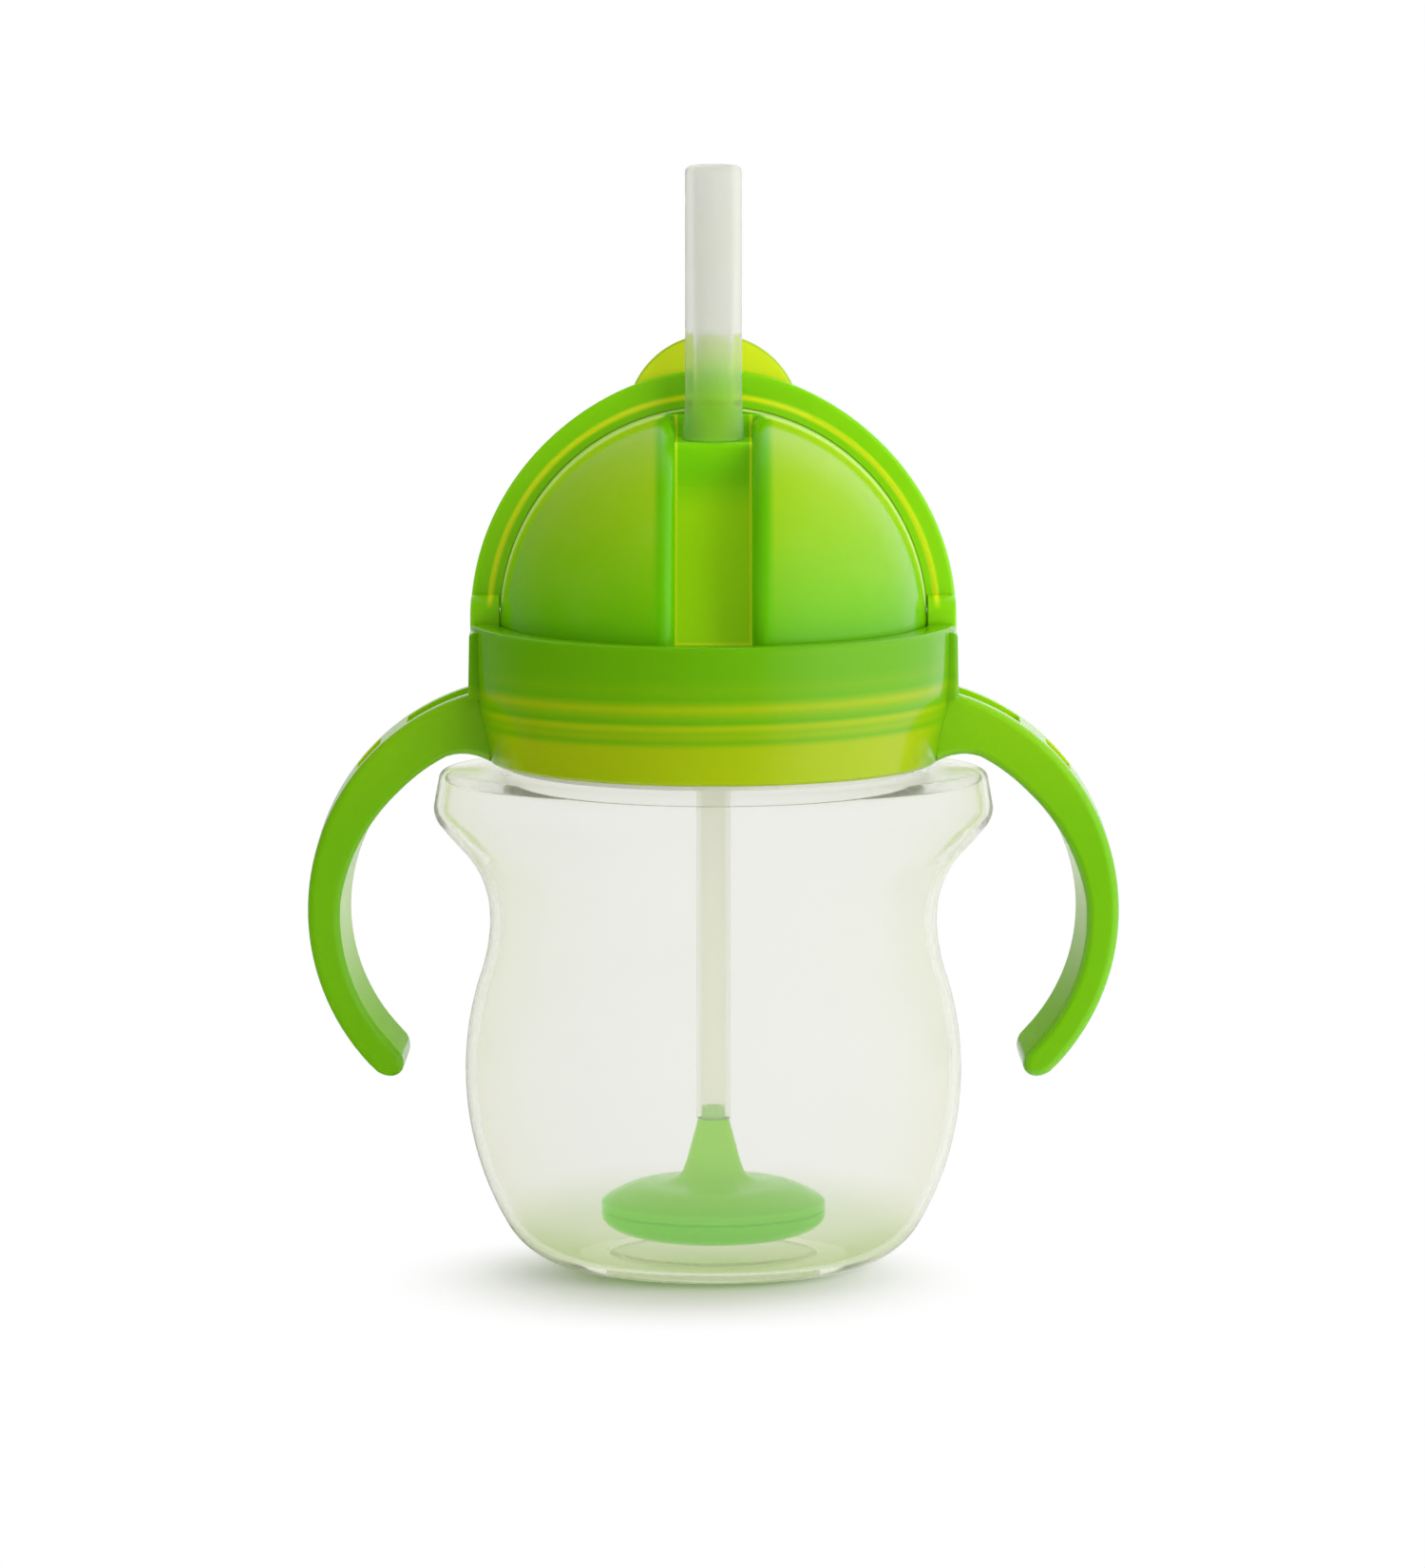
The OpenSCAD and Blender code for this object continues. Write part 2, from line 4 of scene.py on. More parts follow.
import bmesh
import bpy
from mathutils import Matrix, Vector


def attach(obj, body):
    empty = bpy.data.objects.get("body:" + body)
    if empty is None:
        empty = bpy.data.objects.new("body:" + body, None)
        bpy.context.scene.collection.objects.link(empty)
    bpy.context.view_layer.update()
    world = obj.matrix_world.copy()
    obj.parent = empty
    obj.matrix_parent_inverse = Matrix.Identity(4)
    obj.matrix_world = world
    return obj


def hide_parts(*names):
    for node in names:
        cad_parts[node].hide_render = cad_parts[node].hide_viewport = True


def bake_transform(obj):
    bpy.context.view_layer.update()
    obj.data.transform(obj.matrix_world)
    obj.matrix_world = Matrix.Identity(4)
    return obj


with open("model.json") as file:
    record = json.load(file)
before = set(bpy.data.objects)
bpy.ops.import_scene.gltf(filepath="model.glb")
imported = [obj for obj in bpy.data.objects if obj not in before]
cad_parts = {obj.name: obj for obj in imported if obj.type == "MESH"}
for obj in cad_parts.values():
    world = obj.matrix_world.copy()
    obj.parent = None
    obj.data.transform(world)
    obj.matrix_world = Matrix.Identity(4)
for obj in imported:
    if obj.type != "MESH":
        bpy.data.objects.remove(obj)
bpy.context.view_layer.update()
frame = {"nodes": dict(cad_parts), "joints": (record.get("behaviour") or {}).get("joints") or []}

mm = 0.001
tiny = 0.001 * mm       # two spots nearer than this are one
loose = 0.01 * mm
weldGap = 0.004 * mm
jointSpot = {joint["name"]: Vector(joint.get("pos_m", (0, 0, 0))) for joint in frame["joints"]}
pivot = jointSpot["shutter_flip"]      # the shutter turns on the X line through here
strawLine = jointSpot["tube_swing"]    # straw, tube and weight share the upright line through here
xLine, yLine, zLine = (1, 0, 0), (0, 1, 0), (0, 0, 1)
print("frame loaded:", len(frame["nodes"]), "CAD nodes")


# small helpers, each one a step of modelling by hand
def editMode():
    bpy.ops.object.mode_set(mode="EDIT")


def objectMode():
    bpy.ops.object.mode_set(mode="OBJECT")


def clearSelection():
    if bpy.context.mode != "OBJECT":
        objectMode()
    bpy.ops.object.select_all(action="DESELECT")


def activate(piece):
    clearSelection()
    piece.select_set(True)
    bpy.context.view_layer.objects.active = piece


def arc(center, radius, fromAngle, toAngle, count):
    angles = [math.radians(fromAngle + (toAngle - fromAngle) * i / count) for i in range(count + 1)]
    return [(center[0] + radius * math.cos(a), center[1] + radius * math.sin(a)) for a in angles]


def traceLine(name, points, closed=False):
    clearSelection()
    bpy.ops.mesh.primitive_plane_add(size=mm)
    piece = bpy.context.object
    piece.name = piece.data.name = name
    editMode()
    bpy.ops.mesh.select_mode(type="VERT")
    bpy.ops.mesh.select_all(action="SELECT")
    bpy.ops.mesh.merge(type="CENTER")
    bpy.ops.transform.translate(value=points[0])
    for here, there in zip(points, points[1:]):
        bpy.ops.mesh.extrude_vertices_move(TRANSFORM_OT_translate={"value": Vector(there) - Vector(here)})
    if closed:
        ends = (Vector(points[0]), Vector(points[-1]))
        pick(piece, "VERT", lambda v: min((v.co - end).length for end in ends) < tiny)
        bpy.ops.mesh.edge_face_add()
    return piece


def pick(piece, kind, wanted):
    bpy.ops.mesh.select_mode(type=kind)
    bpy.ops.mesh.select_all(action="DESELECT")
    edit = bmesh.from_edit_mesh(piece.data)
    for part in {"VERT": edit.verts, "EDGE": edit.edges, "FACE": edit.faces}[kind]:
        part.select_set(wanted(part))
    bmesh.update_edit_mesh(piece.data)


def tidyMesh():
    bpy.ops.mesh.select_mode(type="VERT")
    bpy.ops.mesh.select_all(action="SELECT")
    bpy.ops.mesh.remove_doubles(threshold=weldGap)
    bpy.ops.mesh.normals_make_consistent(inside=False)


def spinAll(center, axis, degrees, steps):
    bpy.ops.mesh.select_all(action="SELECT")
    bpy.ops.mesh.spin(steps=steps, angle=math.radians(degrees), center=center, axis=axis)
    tidyMesh()


def closeHoles():
    bpy.ops.mesh.select_all(action="SELECT")
    bpy.ops.mesh.fill_holes(sides=0)
    tidyMesh()


def lathe(name, outline, line, closed=True, steps=96):
    points = [(line[0] + r, line[1], z) for r, z in outline]
    piece = traceLine(name, points, closed)
    spinAll((line[0], line[1], 0), zLine, 360, steps)
    objectMode()
    return piece


def addModifier(piece, kind, **values):
    activate(piece)
    modifier = piece.modifiers.new(kind.lower(), kind)
    for name, value in values.items():
        setattr(modifier, name, value)
    bpy.ops.object.modifier_apply(modifier=modifier.name)


def combine(piece, other, operation):
    addModifier(piece, "BOOLEAN", object=other, operation=operation, solver="MANIFOLD",
                material_mode="TRANSFER")
    bpy.data.objects.remove(other)


def mergeSeams(piece):
    activate(piece)
    editMode()
    tidyMesh()
    objectMode()


def smooth(piece, degrees=32, weighted=False):
    activate(piece)
    bpy.ops.object.shade_smooth_by_angle(angle=math.radians(degrees))
    if weighted:
        addModifier(piece, "WEIGHTED_NORMAL", keep_sharp=True)


def paint(piece, material):
    piece.data.materials.clear()
    piece.data.materials.append(material)


# looks
def seen(code):
    channels = [int(code[i:i + 2], 16) / 255 for i in (0, 2, 4)]
    return [c / 12.92 if c <= 0.04045 else ((c + 0.055) / 1.055) ** 2.4 for c in channels] + [1]


def addNode(tree, kind, links=(), **values):
    node = tree.nodes.new("ShaderNode" + kind)
    for name, value in values.items():
        setattr(node, name, value)
    for socket, value in dict(links).items():
        if isinstance(value, bpy.types.NodeSocket):
            tree.links.new(value, node.inputs[socket])
        else:
            node.inputs[socket].default_value = value
    return node


def calc(tree, operation, first, second=0.5, clamp=False):
    node = addNode(tree, "Math", {0: first, 1: second}, operation=operation, use_clamp=clamp)
    return node.outputs[0]


def vectorCalc(tree, operation, first, second=(0, 0, 0)):
    node = addNode(tree, "VectorMath", {0: first, 1: second}, operation=operation)
    return node.outputs["Value" if operation == "LENGTH" else "Vector"]


def fade(tree, value, low, high, to=(0, 1), soft=False):
    links = {"Value": value, "From Min": low, "From Max": high, "To Min": to[0], "To Max": to[1]}
    kind = "SMOOTHSTEP" if soft else "LINEAR"
    return addNode(tree, "MapRange", links, interpolation_type=kind).outputs[0]


def split(tree, vector):
    return addNode(tree, "SeparateXYZ", {0: vector}).outputs


def mixColor(tree, share, first, second):
    return addNode(tree, "Mix", {0: share, 6: first, 7: second}, data_type="RGBA").outputs[2]


# 1 on the line, 0 a width away from it
def onLine(tree, value, place, width):
    off = calc(tree, "ABSOLUTE", calc(tree, "SUBTRACT", value, place))
    return fade(tree, off, width, 0, soft=True)


socketKinds = {"Vector": "Vector", "Center": "Vector", "Unmasked": "Color", "Masked": "Color", "Color": "Color"}


def newGroup(name, inputs, outputs=("Share",)):
    group = bpy.data.node_groups.new(name, "ShaderNodeTree")
    for direction, sockets in (("INPUT", inputs), ("OUTPUT", outputs)):
        for socket in sockets:
            kind = "NodeSocket" + socketKinds.get(socket, "Float")
            group.interface.new_socket(name=socket, in_out=direction, socket_type=kind)
    return group, group.nodes.new("NodeGroupInput").outputs


def deliver(group, **results):
    made = group.nodes.new("NodeGroupOutput")
    for socket, value in results.items():
        group.links.new(value, made.inputs[socket])
    return group


grain = {
    "wipeScale": 70, "wipeDetail": 4, "peelScale": 900, "peelDetail": 2,
    "peelDepth": 0.05 * mm, "mottle": 0.06,
}
maskSizes = {
    "lobeFrom": -0.9 * mm, "lobeTo": 0.7 * mm, "backHalf": 3 * mm, "earFade": 3 * mm,
    "rimBehind": 1.8 * mm, "rimFront": 1.3 * mm, "rimLow": 2 * mm, "rimHigh": 4 * mm,
}
threadLightLook = {
    "low": 85, "high": 105, "sideFrom": 4 * mm, "sideTo": 22 * mm,
    "stops": ((92.1, 1), (93.2, 0.15), (94.1, 0.6), (94.8, 0.45), (95.7, 1), (96.6, 0), (97.4, 0.25),
              (98.1, 0.5), (98.9, 0.95), (99.7, 0.4), (100.5, 0), (102.1, 0.15), (104, 0)),
}


def makeMouldedSkin():
    group, given = newGroup("mouldedSkin", ("Vector", "Gloss", "Wipe"), ("Roughness", "Height", "Mottle"))
    noise = {}
    for name in ("wipe", "peel"):
        links = {socket: grain[name + socket] for socket in ("Scale", "Detail")}
        noise[name] = addNode(group, "TexNoise", {"Vector": given["Vector"], **links}).outputs["Fac"]
    change = calc(group, "MULTIPLY", calc(group, "SUBTRACT", noise["wipe"], 0.5), given["Wipe"])
    rough = calc(group, "ADD", change, given["Gloss"])
    return deliver(group, Roughness=rough, Height=noise["peel"], Mottle=noise["wipe"])


def makeHeightBand():
    group, given = newGroup("heightBand", ("Vector", "Low", "High"))
    height = split(group, given["Vector"])["Z"]
    return deliver(group, Share=fade(group, height, given["Low"], given["High"], soft=True))


# painted light and shade on the lobes: paler towards the top, with a darker band along each lobe's inner
# edge by the channel, left out at the back
def makeLobeShade():
    group, given = newGroup("lobeShade", ("Vector", "Low", "High", "Edge"))
    spot = split(group, given["Vector"])
    rise = fade(group, spot["Z"], given["Low"], given["High"], soft=True)
    past = calc(group, "SUBTRACT", calc(group, "ABSOLUTE", spot["X"]), given["Edge"])
    lobe = fade(group, past, maskSizes["lobeFrom"], maskSizes["lobeTo"], soft=True)
    back = fade(group, spot["Y"], -maskSizes["backHalf"], maskSizes["backHalf"])
    return deliver(group, Share=calc(group, "MULTIPLY", rise, calc(group, "MAXIMUM", lobe, back)))


# a band along the ears' ridge, used for a painted green reflection on the cup
def makeRidgeLine():
    group, given = newGroup("ridgeLine", ("Vector", "Low", "High", "Edge", "Width"))
    spot = split(group, given["Vector"])
    rise = fade(group, spot["Z"], given["Low"], given["High"], soft=True)
    past = calc(group, "SUBTRACT", calc(group, "ABSOLUTE", spot["X"]), given["Edge"])
    ear = fade(group, past, 0, maskSizes["earFade"])
    line = fade(group, calc(group, "ABSOLUTE", spot["Y"]), given["Width"], 0, soft=True)
    return deliver(group, Share=calc(group, "MULTIPLY", calc(group, "MULTIPLY", rise, ear), line))


# painted highlight lines along the channel's side edges and its foot
def makeEdgeLines():
    group, given = newGroup("edgeLines", ("Vector", "Half", "Foot", "Width"))
    spot = split(group, given["Vector"])
    side = onLine(group, calc(group, "ABSOLUTE", spot["X"]), given["Half"], given["Width"])
    foot = onLine(group, spot["Z"], given["Foot"], given["Width"])
    return deliver(group, Share=calc(group, "MAXIMUM", side, foot))


# painted light and shade: helical bands that stand in for the threads seen through the collar's wall, the
# masked colour where light passes through between them, faded out towards the sides
def makeThreadLightBands():
    look = threadLightLook
    group, given = newGroup("threadLightBands", ("Vector", "Pitch"))
    spot = split(group, given["Vector"])
    front = calc(group, "MULTIPLY", spot["Y"], -1)
    turn = calc(group, "ARCTANGENT", calc(group, "DIVIDE", spot["X"], front))
    rise = calc(group, "MULTIPLY", turn, calc(group, "DIVIDE", given["Pitch"], math.tau))
    level = calc(group, "SUBTRACT", spot["Z"], rise)
    bands = addNode(group, "ValToRGB", {0: fade(group, level, look["low"] * mm, look["high"] * mm)})
    stops = bands.color_ramp.elements
    for place, (height, amount) in enumerate(look["stops"]):
        stop = stops[place] if place < 2 else stops.new(1)
        stop.position = (height - look["low"]) / (look["high"] - look["low"])
        stop.color = (amount, amount, amount, 1)
    facing = fade(group, calc(group, "ABSOLUTE", spot["Y"]), look["sideFrom"], look["sideTo"], soft=True)
    return deliver(group, Share=calc(group, "MULTIPLY", bands.outputs["Color"], facing))


# a painted line on a circle round Center, kept to the front and upper part: highlight lines on the dome and
# shutter, a shade line on the thumb tab
def makeRimLine():
    group, given = newGroup("rimLine", ("Vector", "Center", "Radius", "Width"))
    away = vectorCalc(group, "SUBTRACT", given["Vector"], given["Center"])
    far = vectorCalc(group, "LENGTH", vectorCalc(group, "MULTIPLY", away, (1, 0, 1)))
    line = onLine(group, far, given["Radius"], given["Width"])
    spot = split(group, away)
    front = fade(group, spot["Y"], maskSizes["rimBehind"], maskSizes["rimFront"])
    above = fade(group, spot["Z"], maskSizes["rimLow"], maskSizes["rimHigh"])
    return deliver(group, Share=calc(group, "MULTIPLY", line, calc(group, "MULTIPLY", front, above)))


# mixes the unmasked colour toward the masked colour by a mask's share, shifted by random mottle; the
# materials below use it to paint light and shade into the colour
def makeTint():
    group, given = newGroup("tint", ("Unmasked", "Masked", "Share", "Mottle"), ("Color",))
    shift = fade(group, given["Mottle"], 0, 1, to=(-grain["mottle"], grain["mottle"]))
    share = calc(group, "ADD", given["Share"], shift, clamp=True)
    return deliver(group, Color=mixColor(group, share, given["Unmasked"], given["Masked"]))


skinGroup = makeMouldedSkin()
bandGroup = makeHeightBand()
lobeGroup = makeLobeShade()
ridgeGroup = makeRidgeLine()
lineGroup = makeEdgeLines()
threadLightGroup = makeThreadLightBands()
rimGroup = makeRimLine()
tintGroup = makeTint()


def newMaterial(name, **sockets):
    material = bpy.data.materials.new(name)
    material.use_nodes = True
    shader = material.node_tree.nodes["Principled BSDF"]
    for socket, value in sockets.items():
        shader.inputs[socket.replace("_", " ")].default_value = value
    return material, material.node_tree, shader


def addSkin(tree, shader, gloss, wipe, peel):
    place = addNode(tree, "TexCoord").outputs["Object"]
    links = {"Vector": place, "Gloss": gloss, "Wipe": wipe}
    skin = addNode(tree, "Group", links, node_tree=skinGroup).outputs
    links = {"Height": skin["Height"], "Strength": peel, "Distance": grain["peelDepth"]}
    bump = addNode(tree, "Bump", links)
    tree.links.new(skin["Roughness"], shader.inputs["Roughness"])
    tree.links.new(bump.outputs[0], shader.inputs["Normal"])
    return place, skin["Mottle"]


def addMask(tree, kind, place, values):
    return addNode(tree, "Group", {"Vector": place, **values}, node_tree=kind).outputs["Share"]


def addTint(tree, unmaskedColor, maskedColor, mottle, share):
    links = {"Unmasked": unmaskedColor, "Masked": maskedColor, "Mottle": mottle, "Share": share}
    return addNode(tree, "Group", links, node_tree=tintGroup).outputs["Color"]


greenLook = {
    "gloss": 0.17, "wipe": 0.1, "peel": 0.04,
    "subsurface": 0.5, "glow": (0.5, 1.0, 0.06), "glowDepth": 1.6 * mm,
}


# the emission strength paints a glow in the base colour, standing in for light passing through the green
# plastic
def greenPlastic(name, unmaskedColor, maskedColor, kind, paintedGlow=0.0, ior=1.49, line=None, **values):
    look = greenLook
    material, tree, shader = newMaterial(name, IOR=ior, Subsurface_Weight=look["subsurface"],
                                         Subsurface_Radius=look["glow"], Subsurface_Scale=look["glowDepth"],
                                         Emission_Strength=paintedGlow)
    place, mottle = addSkin(tree, shader, look["gloss"], look["wipe"], look["peel"])
    color = addTint(tree, seen(unmaskedColor), seen(maskedColor), mottle, addMask(tree, kind, place, values))
    # the optional line paints a highlight line over the colour
    if line:
        shade, lineKind, sizes = line
        color = addTint(tree, color, seen(shade), mottle, addMask(tree, lineKind, place, sizes))
    tree.links.new(color, shader.inputs["Base Color"])
    tree.links.new(color, shader.inputs["Emission Color"])
    return material


clearLook = {"peel": 0.05, "coatGloss": 0.12}


def clearPlastic(name, unmaskedColor, gloss, wipe, transmission, ior, peel=clearLook["peel"], coat=0.0, maskedColor=None,
                 edges=(), **band):
    material, tree, shader = newMaterial(name, IOR=ior, Transmission_Weight=transmission, Coat_Weight=coat,
                                         Coat_Roughness=clearLook["coatGloss"])
    place, mottle = addSkin(tree, shader, gloss, wipe, peel)
    share = addMask(tree, bandGroup, place, band) if maskedColor else 0
    color = addTint(tree, seen(unmaskedColor), seen(maskedColor or "ffffff"), mottle, share)
    # each edge entry paints its colour where a face is seen edge-on within its mask: a painted sheen and
    # reflection at the outline
    for shade, turn, kind, values in edges:
        turned = addNode(tree, "LayerWeight", {"Blend": turn}).outputs["Facing"]
        share = calc(tree, "MULTIPLY", turned, addMask(tree, kind, place, values))
        color = mixColor(tree, share, color, seen(shade))
    tree.links.new(color, shader.inputs["Base Color"])
    return material


allHeights = {"Low": -2 * mm, "High": -1 * mm}
earRidge = {"Low": 60 * mm, "High": 66 * mm, "Edge": 37 * mm, "Width": 6 * mm}
# the dome's pale line just in front of the shutter's rim is a painted highlight
domeLine = {"Center": pivot, "Radius": 35.85 * mm, "Width": 0.35 * mm}
# placing of the channel's painted highlight lines, at its sides and foot
channelLine = {"Half": 6.3 * mm, "Foot": 108.0 * mm, "Width": 0.5 * mm}
# the cup's edge colours: a pale painted sheen at the outline, and a painted green reflection on the ears'
# ridge
cupEdges = (("e4e898", 0.05, bandGroup, allHeights), ("a4c818", 0.45, ridgeGroup, earRidge))
# the straw's pale painted sheen at its outline
strawEdges = (("f2f4ea", 0.3, bandGroup, allHeights),)
# painted reflection: the cup is tinted green towards the bottom, standing in for the green weight mirrored
# in its base
frostedPlastic = clearPlastic("frostedPlastic", "f9f9f7", 0.16, 0.06, 0.93, 1.035, peel=0.0, coat=0.1,
                              maskedColor="dce6c8", edges=cupEdges, Low=12 * mm, High=2 * mm)
milkyNeck = clearPlastic("milkyNeck", "fbfbf4", 0.3, 0.05, 0.2, 1.17)
# painted light: the straw's lower part is tinted green, standing in for the green parts seen through it
milkySilicone = clearPlastic("milkySilicone", "efefea", 0.3, 0.06, 0.75, 1.14, maskedColor="c4f058",
                             edges=strawEdges, Low=160 * mm, High=146 * mm)
milkyTube = clearPlastic("milkyTube", "fdfdf4", 0.3, 0.06, 0.85, 1.03, peel=0.02)
sealSilicone = clearPlastic("sealSilicone", "eef0e6", 0.4, 0.08, 0.2, 1.41)
# painted light: the collar's olive bands are light through the wall between the threads
collarGreen = greenPlastic("collarGreen", "66aa00", "a2b800", threadLightGroup, Pitch=3.3 * mm)
# painted light: the handle is paler towards the top
handleGreen = greenPlastic("handleGreen", "74ba08", "86c20c", bandGroup, Low=70 * mm, High=96 * mm)
# painted reflection: the grip's inner faces turn pale upwards, standing in for the bright room they mirror;
# the low IOR keeps the real reflection weak
gripGreen = greenPlastic("gripGreen", "80be20", "c8e6a0", bandGroup, ior=1.06, Low=40 * mm, High=64 * mm)
# painted light and shade: lobes paler towards the top with darker bands by the channel, a painted highlight
# line under the rim, and a painted glow
domeGreen = greenPlastic("domeGreen", "60b200", "98c214", lobeGroup, paintedGlow=0.06,
                         line=("d4ec98", rimGroup, domeLine), Low=104 * mm, High=140 * mm, Edge=9.7 * mm)
# painted light: the channel glows yellow below and turns darker green above, with painted highlight lines
# and a painted glow
channelGreen = greenPlastic("channelGreen", "9cd000", "74c000", bandGroup, paintedGlow=0.26,
                            line=("c0d816", lineGroup, channelLine), Low=128 * mm, High=136 * mm)
# painted highlight: a yellow line round the rim's front, and a painted glow
shutterGreen = greenPlastic("shutterGreen", "80c608", "dce01c", rimGroup, paintedGlow=0.13, Center=pivot,
                            Radius=37.8 * mm, Width=0.8 * mm)
# painted light and shade: the tab's yellow colour and strong glow stand in for light through the thin tab,
# and a darker painted line runs along its curved top edge
tabGreen = greenPlastic("tabGreen", "b1c118", "8ca41e", rimGroup, paintedGlow=0.5,
                        Center=(0, 3.5 * mm, 142.8 * mm), Radius=14.6 * mm, Width=0.45 * mm)
# painted light: the handles' hollows glow yellow below and turn greener above, standing in for light through
# their thin floors
hollowGlowGreen = greenPlastic("hollowGlowGreen", "b0c800", "8cc40a", bandGroup, paintedGlow=0.12, Low=84 * mm, High=98 * mm)
# painted light: the weight is paler towards its top, with a painted glow
weightGreen = greenPlastic("weightGreen", "76cc2c", "9cd64a", bandGroup, paintedGlow=0.13, ior=1.18, Low=8 * mm,
                           High=20 * mm)
steelLook = {"color": "a2a2a4", "gloss": 0.32, "wipe": 0.2, "peel": 0.08}


def makeSteel():
    look = steelLook
    material, tree, shader = newMaterial("turnedSteel", Metallic=1.0, Base_Color=seen(look["color"]))
    addSkin(tree, shader, look["gloss"], look["wipe"], look["peel"])
    return material


turnedSteel = makeSteel()
paint(frame["nodes"]["weight_slug"], turnedSteel)
paint(frame["nodes"]["seal_ring"], sealSilicone)
print("materials made")


# each light: name, spot, target, size, power
studio = {
    "cameraSpot": (-0.16 * mm, -1.786, 0.307), "cameraTarget": (-0.16 * mm, 0, 0.0815), "lens": 244.6,
    # the floor's yellow-green tint shows only near the object, a painted glow of green light in its shadow
    "floorSize": 30, "floorColor": (0.9, 0.91, 0.83, 1), "floorGloss": 0.8,
    "shadowSpot": (-5 * mm, -20 * mm, 0), "shadowFrom": 12 * mm, "shadowTo": 53 * mm,
    "worldLight": 0.45, "frontShine": 0.05, "backShine": 1.0, "backSpan": (0.1, 0.6),
    "rightShine": 0.9, "rightSpan": (0.2, 1.0), "leftShare": 0.16, "leftSpan": (-0.5, 0.05),
    "lights": (("keyLight", (0.5, -0.42, 0.28), (0, 0, 0.09), 0.6, 3.8),
               ("fillLight", (-0.95, -0.4, 0.5), (0, 0, 0.09), 0.8, 1.75),
               ("backLight", (0.1, 1.0, 0.45), (0, 0, 0.12), 0.8, 2.5),
               ("topLight", (0.15, 0.45, 1.1), (0, 0, 0.05), 0.9, 6)),
}


def aim(fromSpot, toSpot):
    return (Vector(toSpot) - Vector(fromSpot)).to_track_quat("-Z", "Y").to_euler()


def addLight(name, spot, target, size, power):
    clearSelection()
    bpy.ops.object.light_add(type="AREA", location=spot)
    light = bpy.context.object
    light.name = name
    light.rotation_euler = aim(spot, target)
    light.data.shape = "SQUARE"
    light.data.size = size
    light.data.energy = power
    light.visible_transmission = False
    light.visible_glossy = False


# how bright the room is in the direction a mirror shows
def roomShine(tree, direction):
    toward = split(tree, direction)
    behind = fade(tree, toward["Y"], *studio["backSpan"], to=(studio["frontShine"], studio["backShine"]))
    right = fade(tree, toward["X"], *studio["rightSpan"], to=(0, studio["rightShine"]), soft=True)
    left = fade(tree, toward["X"], *studio["leftSpan"], to=(studio["leftShare"], 1))
    return calc(tree, "MAXIMUM", calc(tree, "MULTIPLY", behind, left), right)


# the plain level for most rays, and the room's shine for mirror rays outside the clear walls
def shineLevel(tree, ray, plain, direction):
    mirrored = calc(tree, "SUBTRACT", ray["Is Glossy Ray"], ray["Transmission Depth"], clamp=True)
    return addNode(tree, "Mix", {0: mirrored, 2: plain, 3: roomShine(tree, direction)}).outputs[0]


def makeWorld():
    world = bpy.data.worlds.new("paleStudio")
    bpy.context.scene.world = world
    world.use_nodes = True
    tree = world.node_tree
    ray = addNode(tree, "LightPath").outputs
    inside = calc(tree, "MULTIPLY", ray["Is Glossy Ray"], ray["Transmission Depth"], clamp=True)
    through = calc(tree, "MAXIMUM", inside, ray["Is Transmission Ray"])
    shown = calc(tree, "MAXIMUM", ray["Is Camera Ray"], through)
    plain = fade(tree, shown, 0, 1, to=(studio["worldLight"], 1))
    level = shineLevel(tree, ray, plain, addNode(tree, "TexCoord").outputs["Generated"])
    background = tree.nodes["Background"]
    background.inputs["Color"].default_value = (1, 1, 1, 1)
    tree.links.new(level, background.inputs["Strength"])


def makeFloor():
    clearSelection()
    bpy.ops.mesh.primitive_plane_add(size=studio["floorSize"])
    floor = bpy.context.object
    floor.name = "studioFloor"
    material, tree, shader = newMaterial("paleFloor", Base_Color=studio["floorColor"],
                                         Roughness=studio["floorGloss"])
    place = addNode(tree, "TexCoord").outputs["Object"]
    far = vectorCalc(tree, "LENGTH", vectorCalc(tree, "SUBTRACT", place, studio["shadowSpot"]))
    away = fade(tree, far, studio["shadowFrom"], studio["shadowTo"], soft=True)
    ray = addNode(tree, "LightPath").outputs
    level = shineLevel(tree, ray, 1, vectorCalc(tree, "NORMALIZE", place))
    glow = addNode(tree, "Emission", {"Color": (1, 1, 1, 1), "Strength": level})
    faded = calc(tree, "MULTIPLY", away, ray["Is Camera Ray"])
    through = calc(tree, "MAXIMUM", faded, ray["Is Transmission Ray"])
    share = calc(tree, "MAXIMUM", through, ray["Is Glossy Ray"])
    mixed = addNode(tree, "MixShader", {"Fac": share, 1: shader.outputs[0], 2: glow.outputs[0]})
    tree.links.new(mixed.outputs[0], tree.nodes["Material Output"].inputs["Surface"])
    paint(floor, material)


def makeStudio():
    clearSelection()
    bpy.ops.object.camera_add(location=studio["cameraSpot"])
    camera = bpy.context.object
    camera.rotation_euler = aim(studio["cameraSpot"], studio["cameraTarget"])
    camera.data.lens = studio["lens"]
    bpy.context.scene.camera = camera
    for light in studio["lights"]:
        addLight(*light)
    makeWorld()
    makeFloor()
    bpy.context.scene.view_settings.view_transform = "Standard"
    print("studio set")


makeStudio()

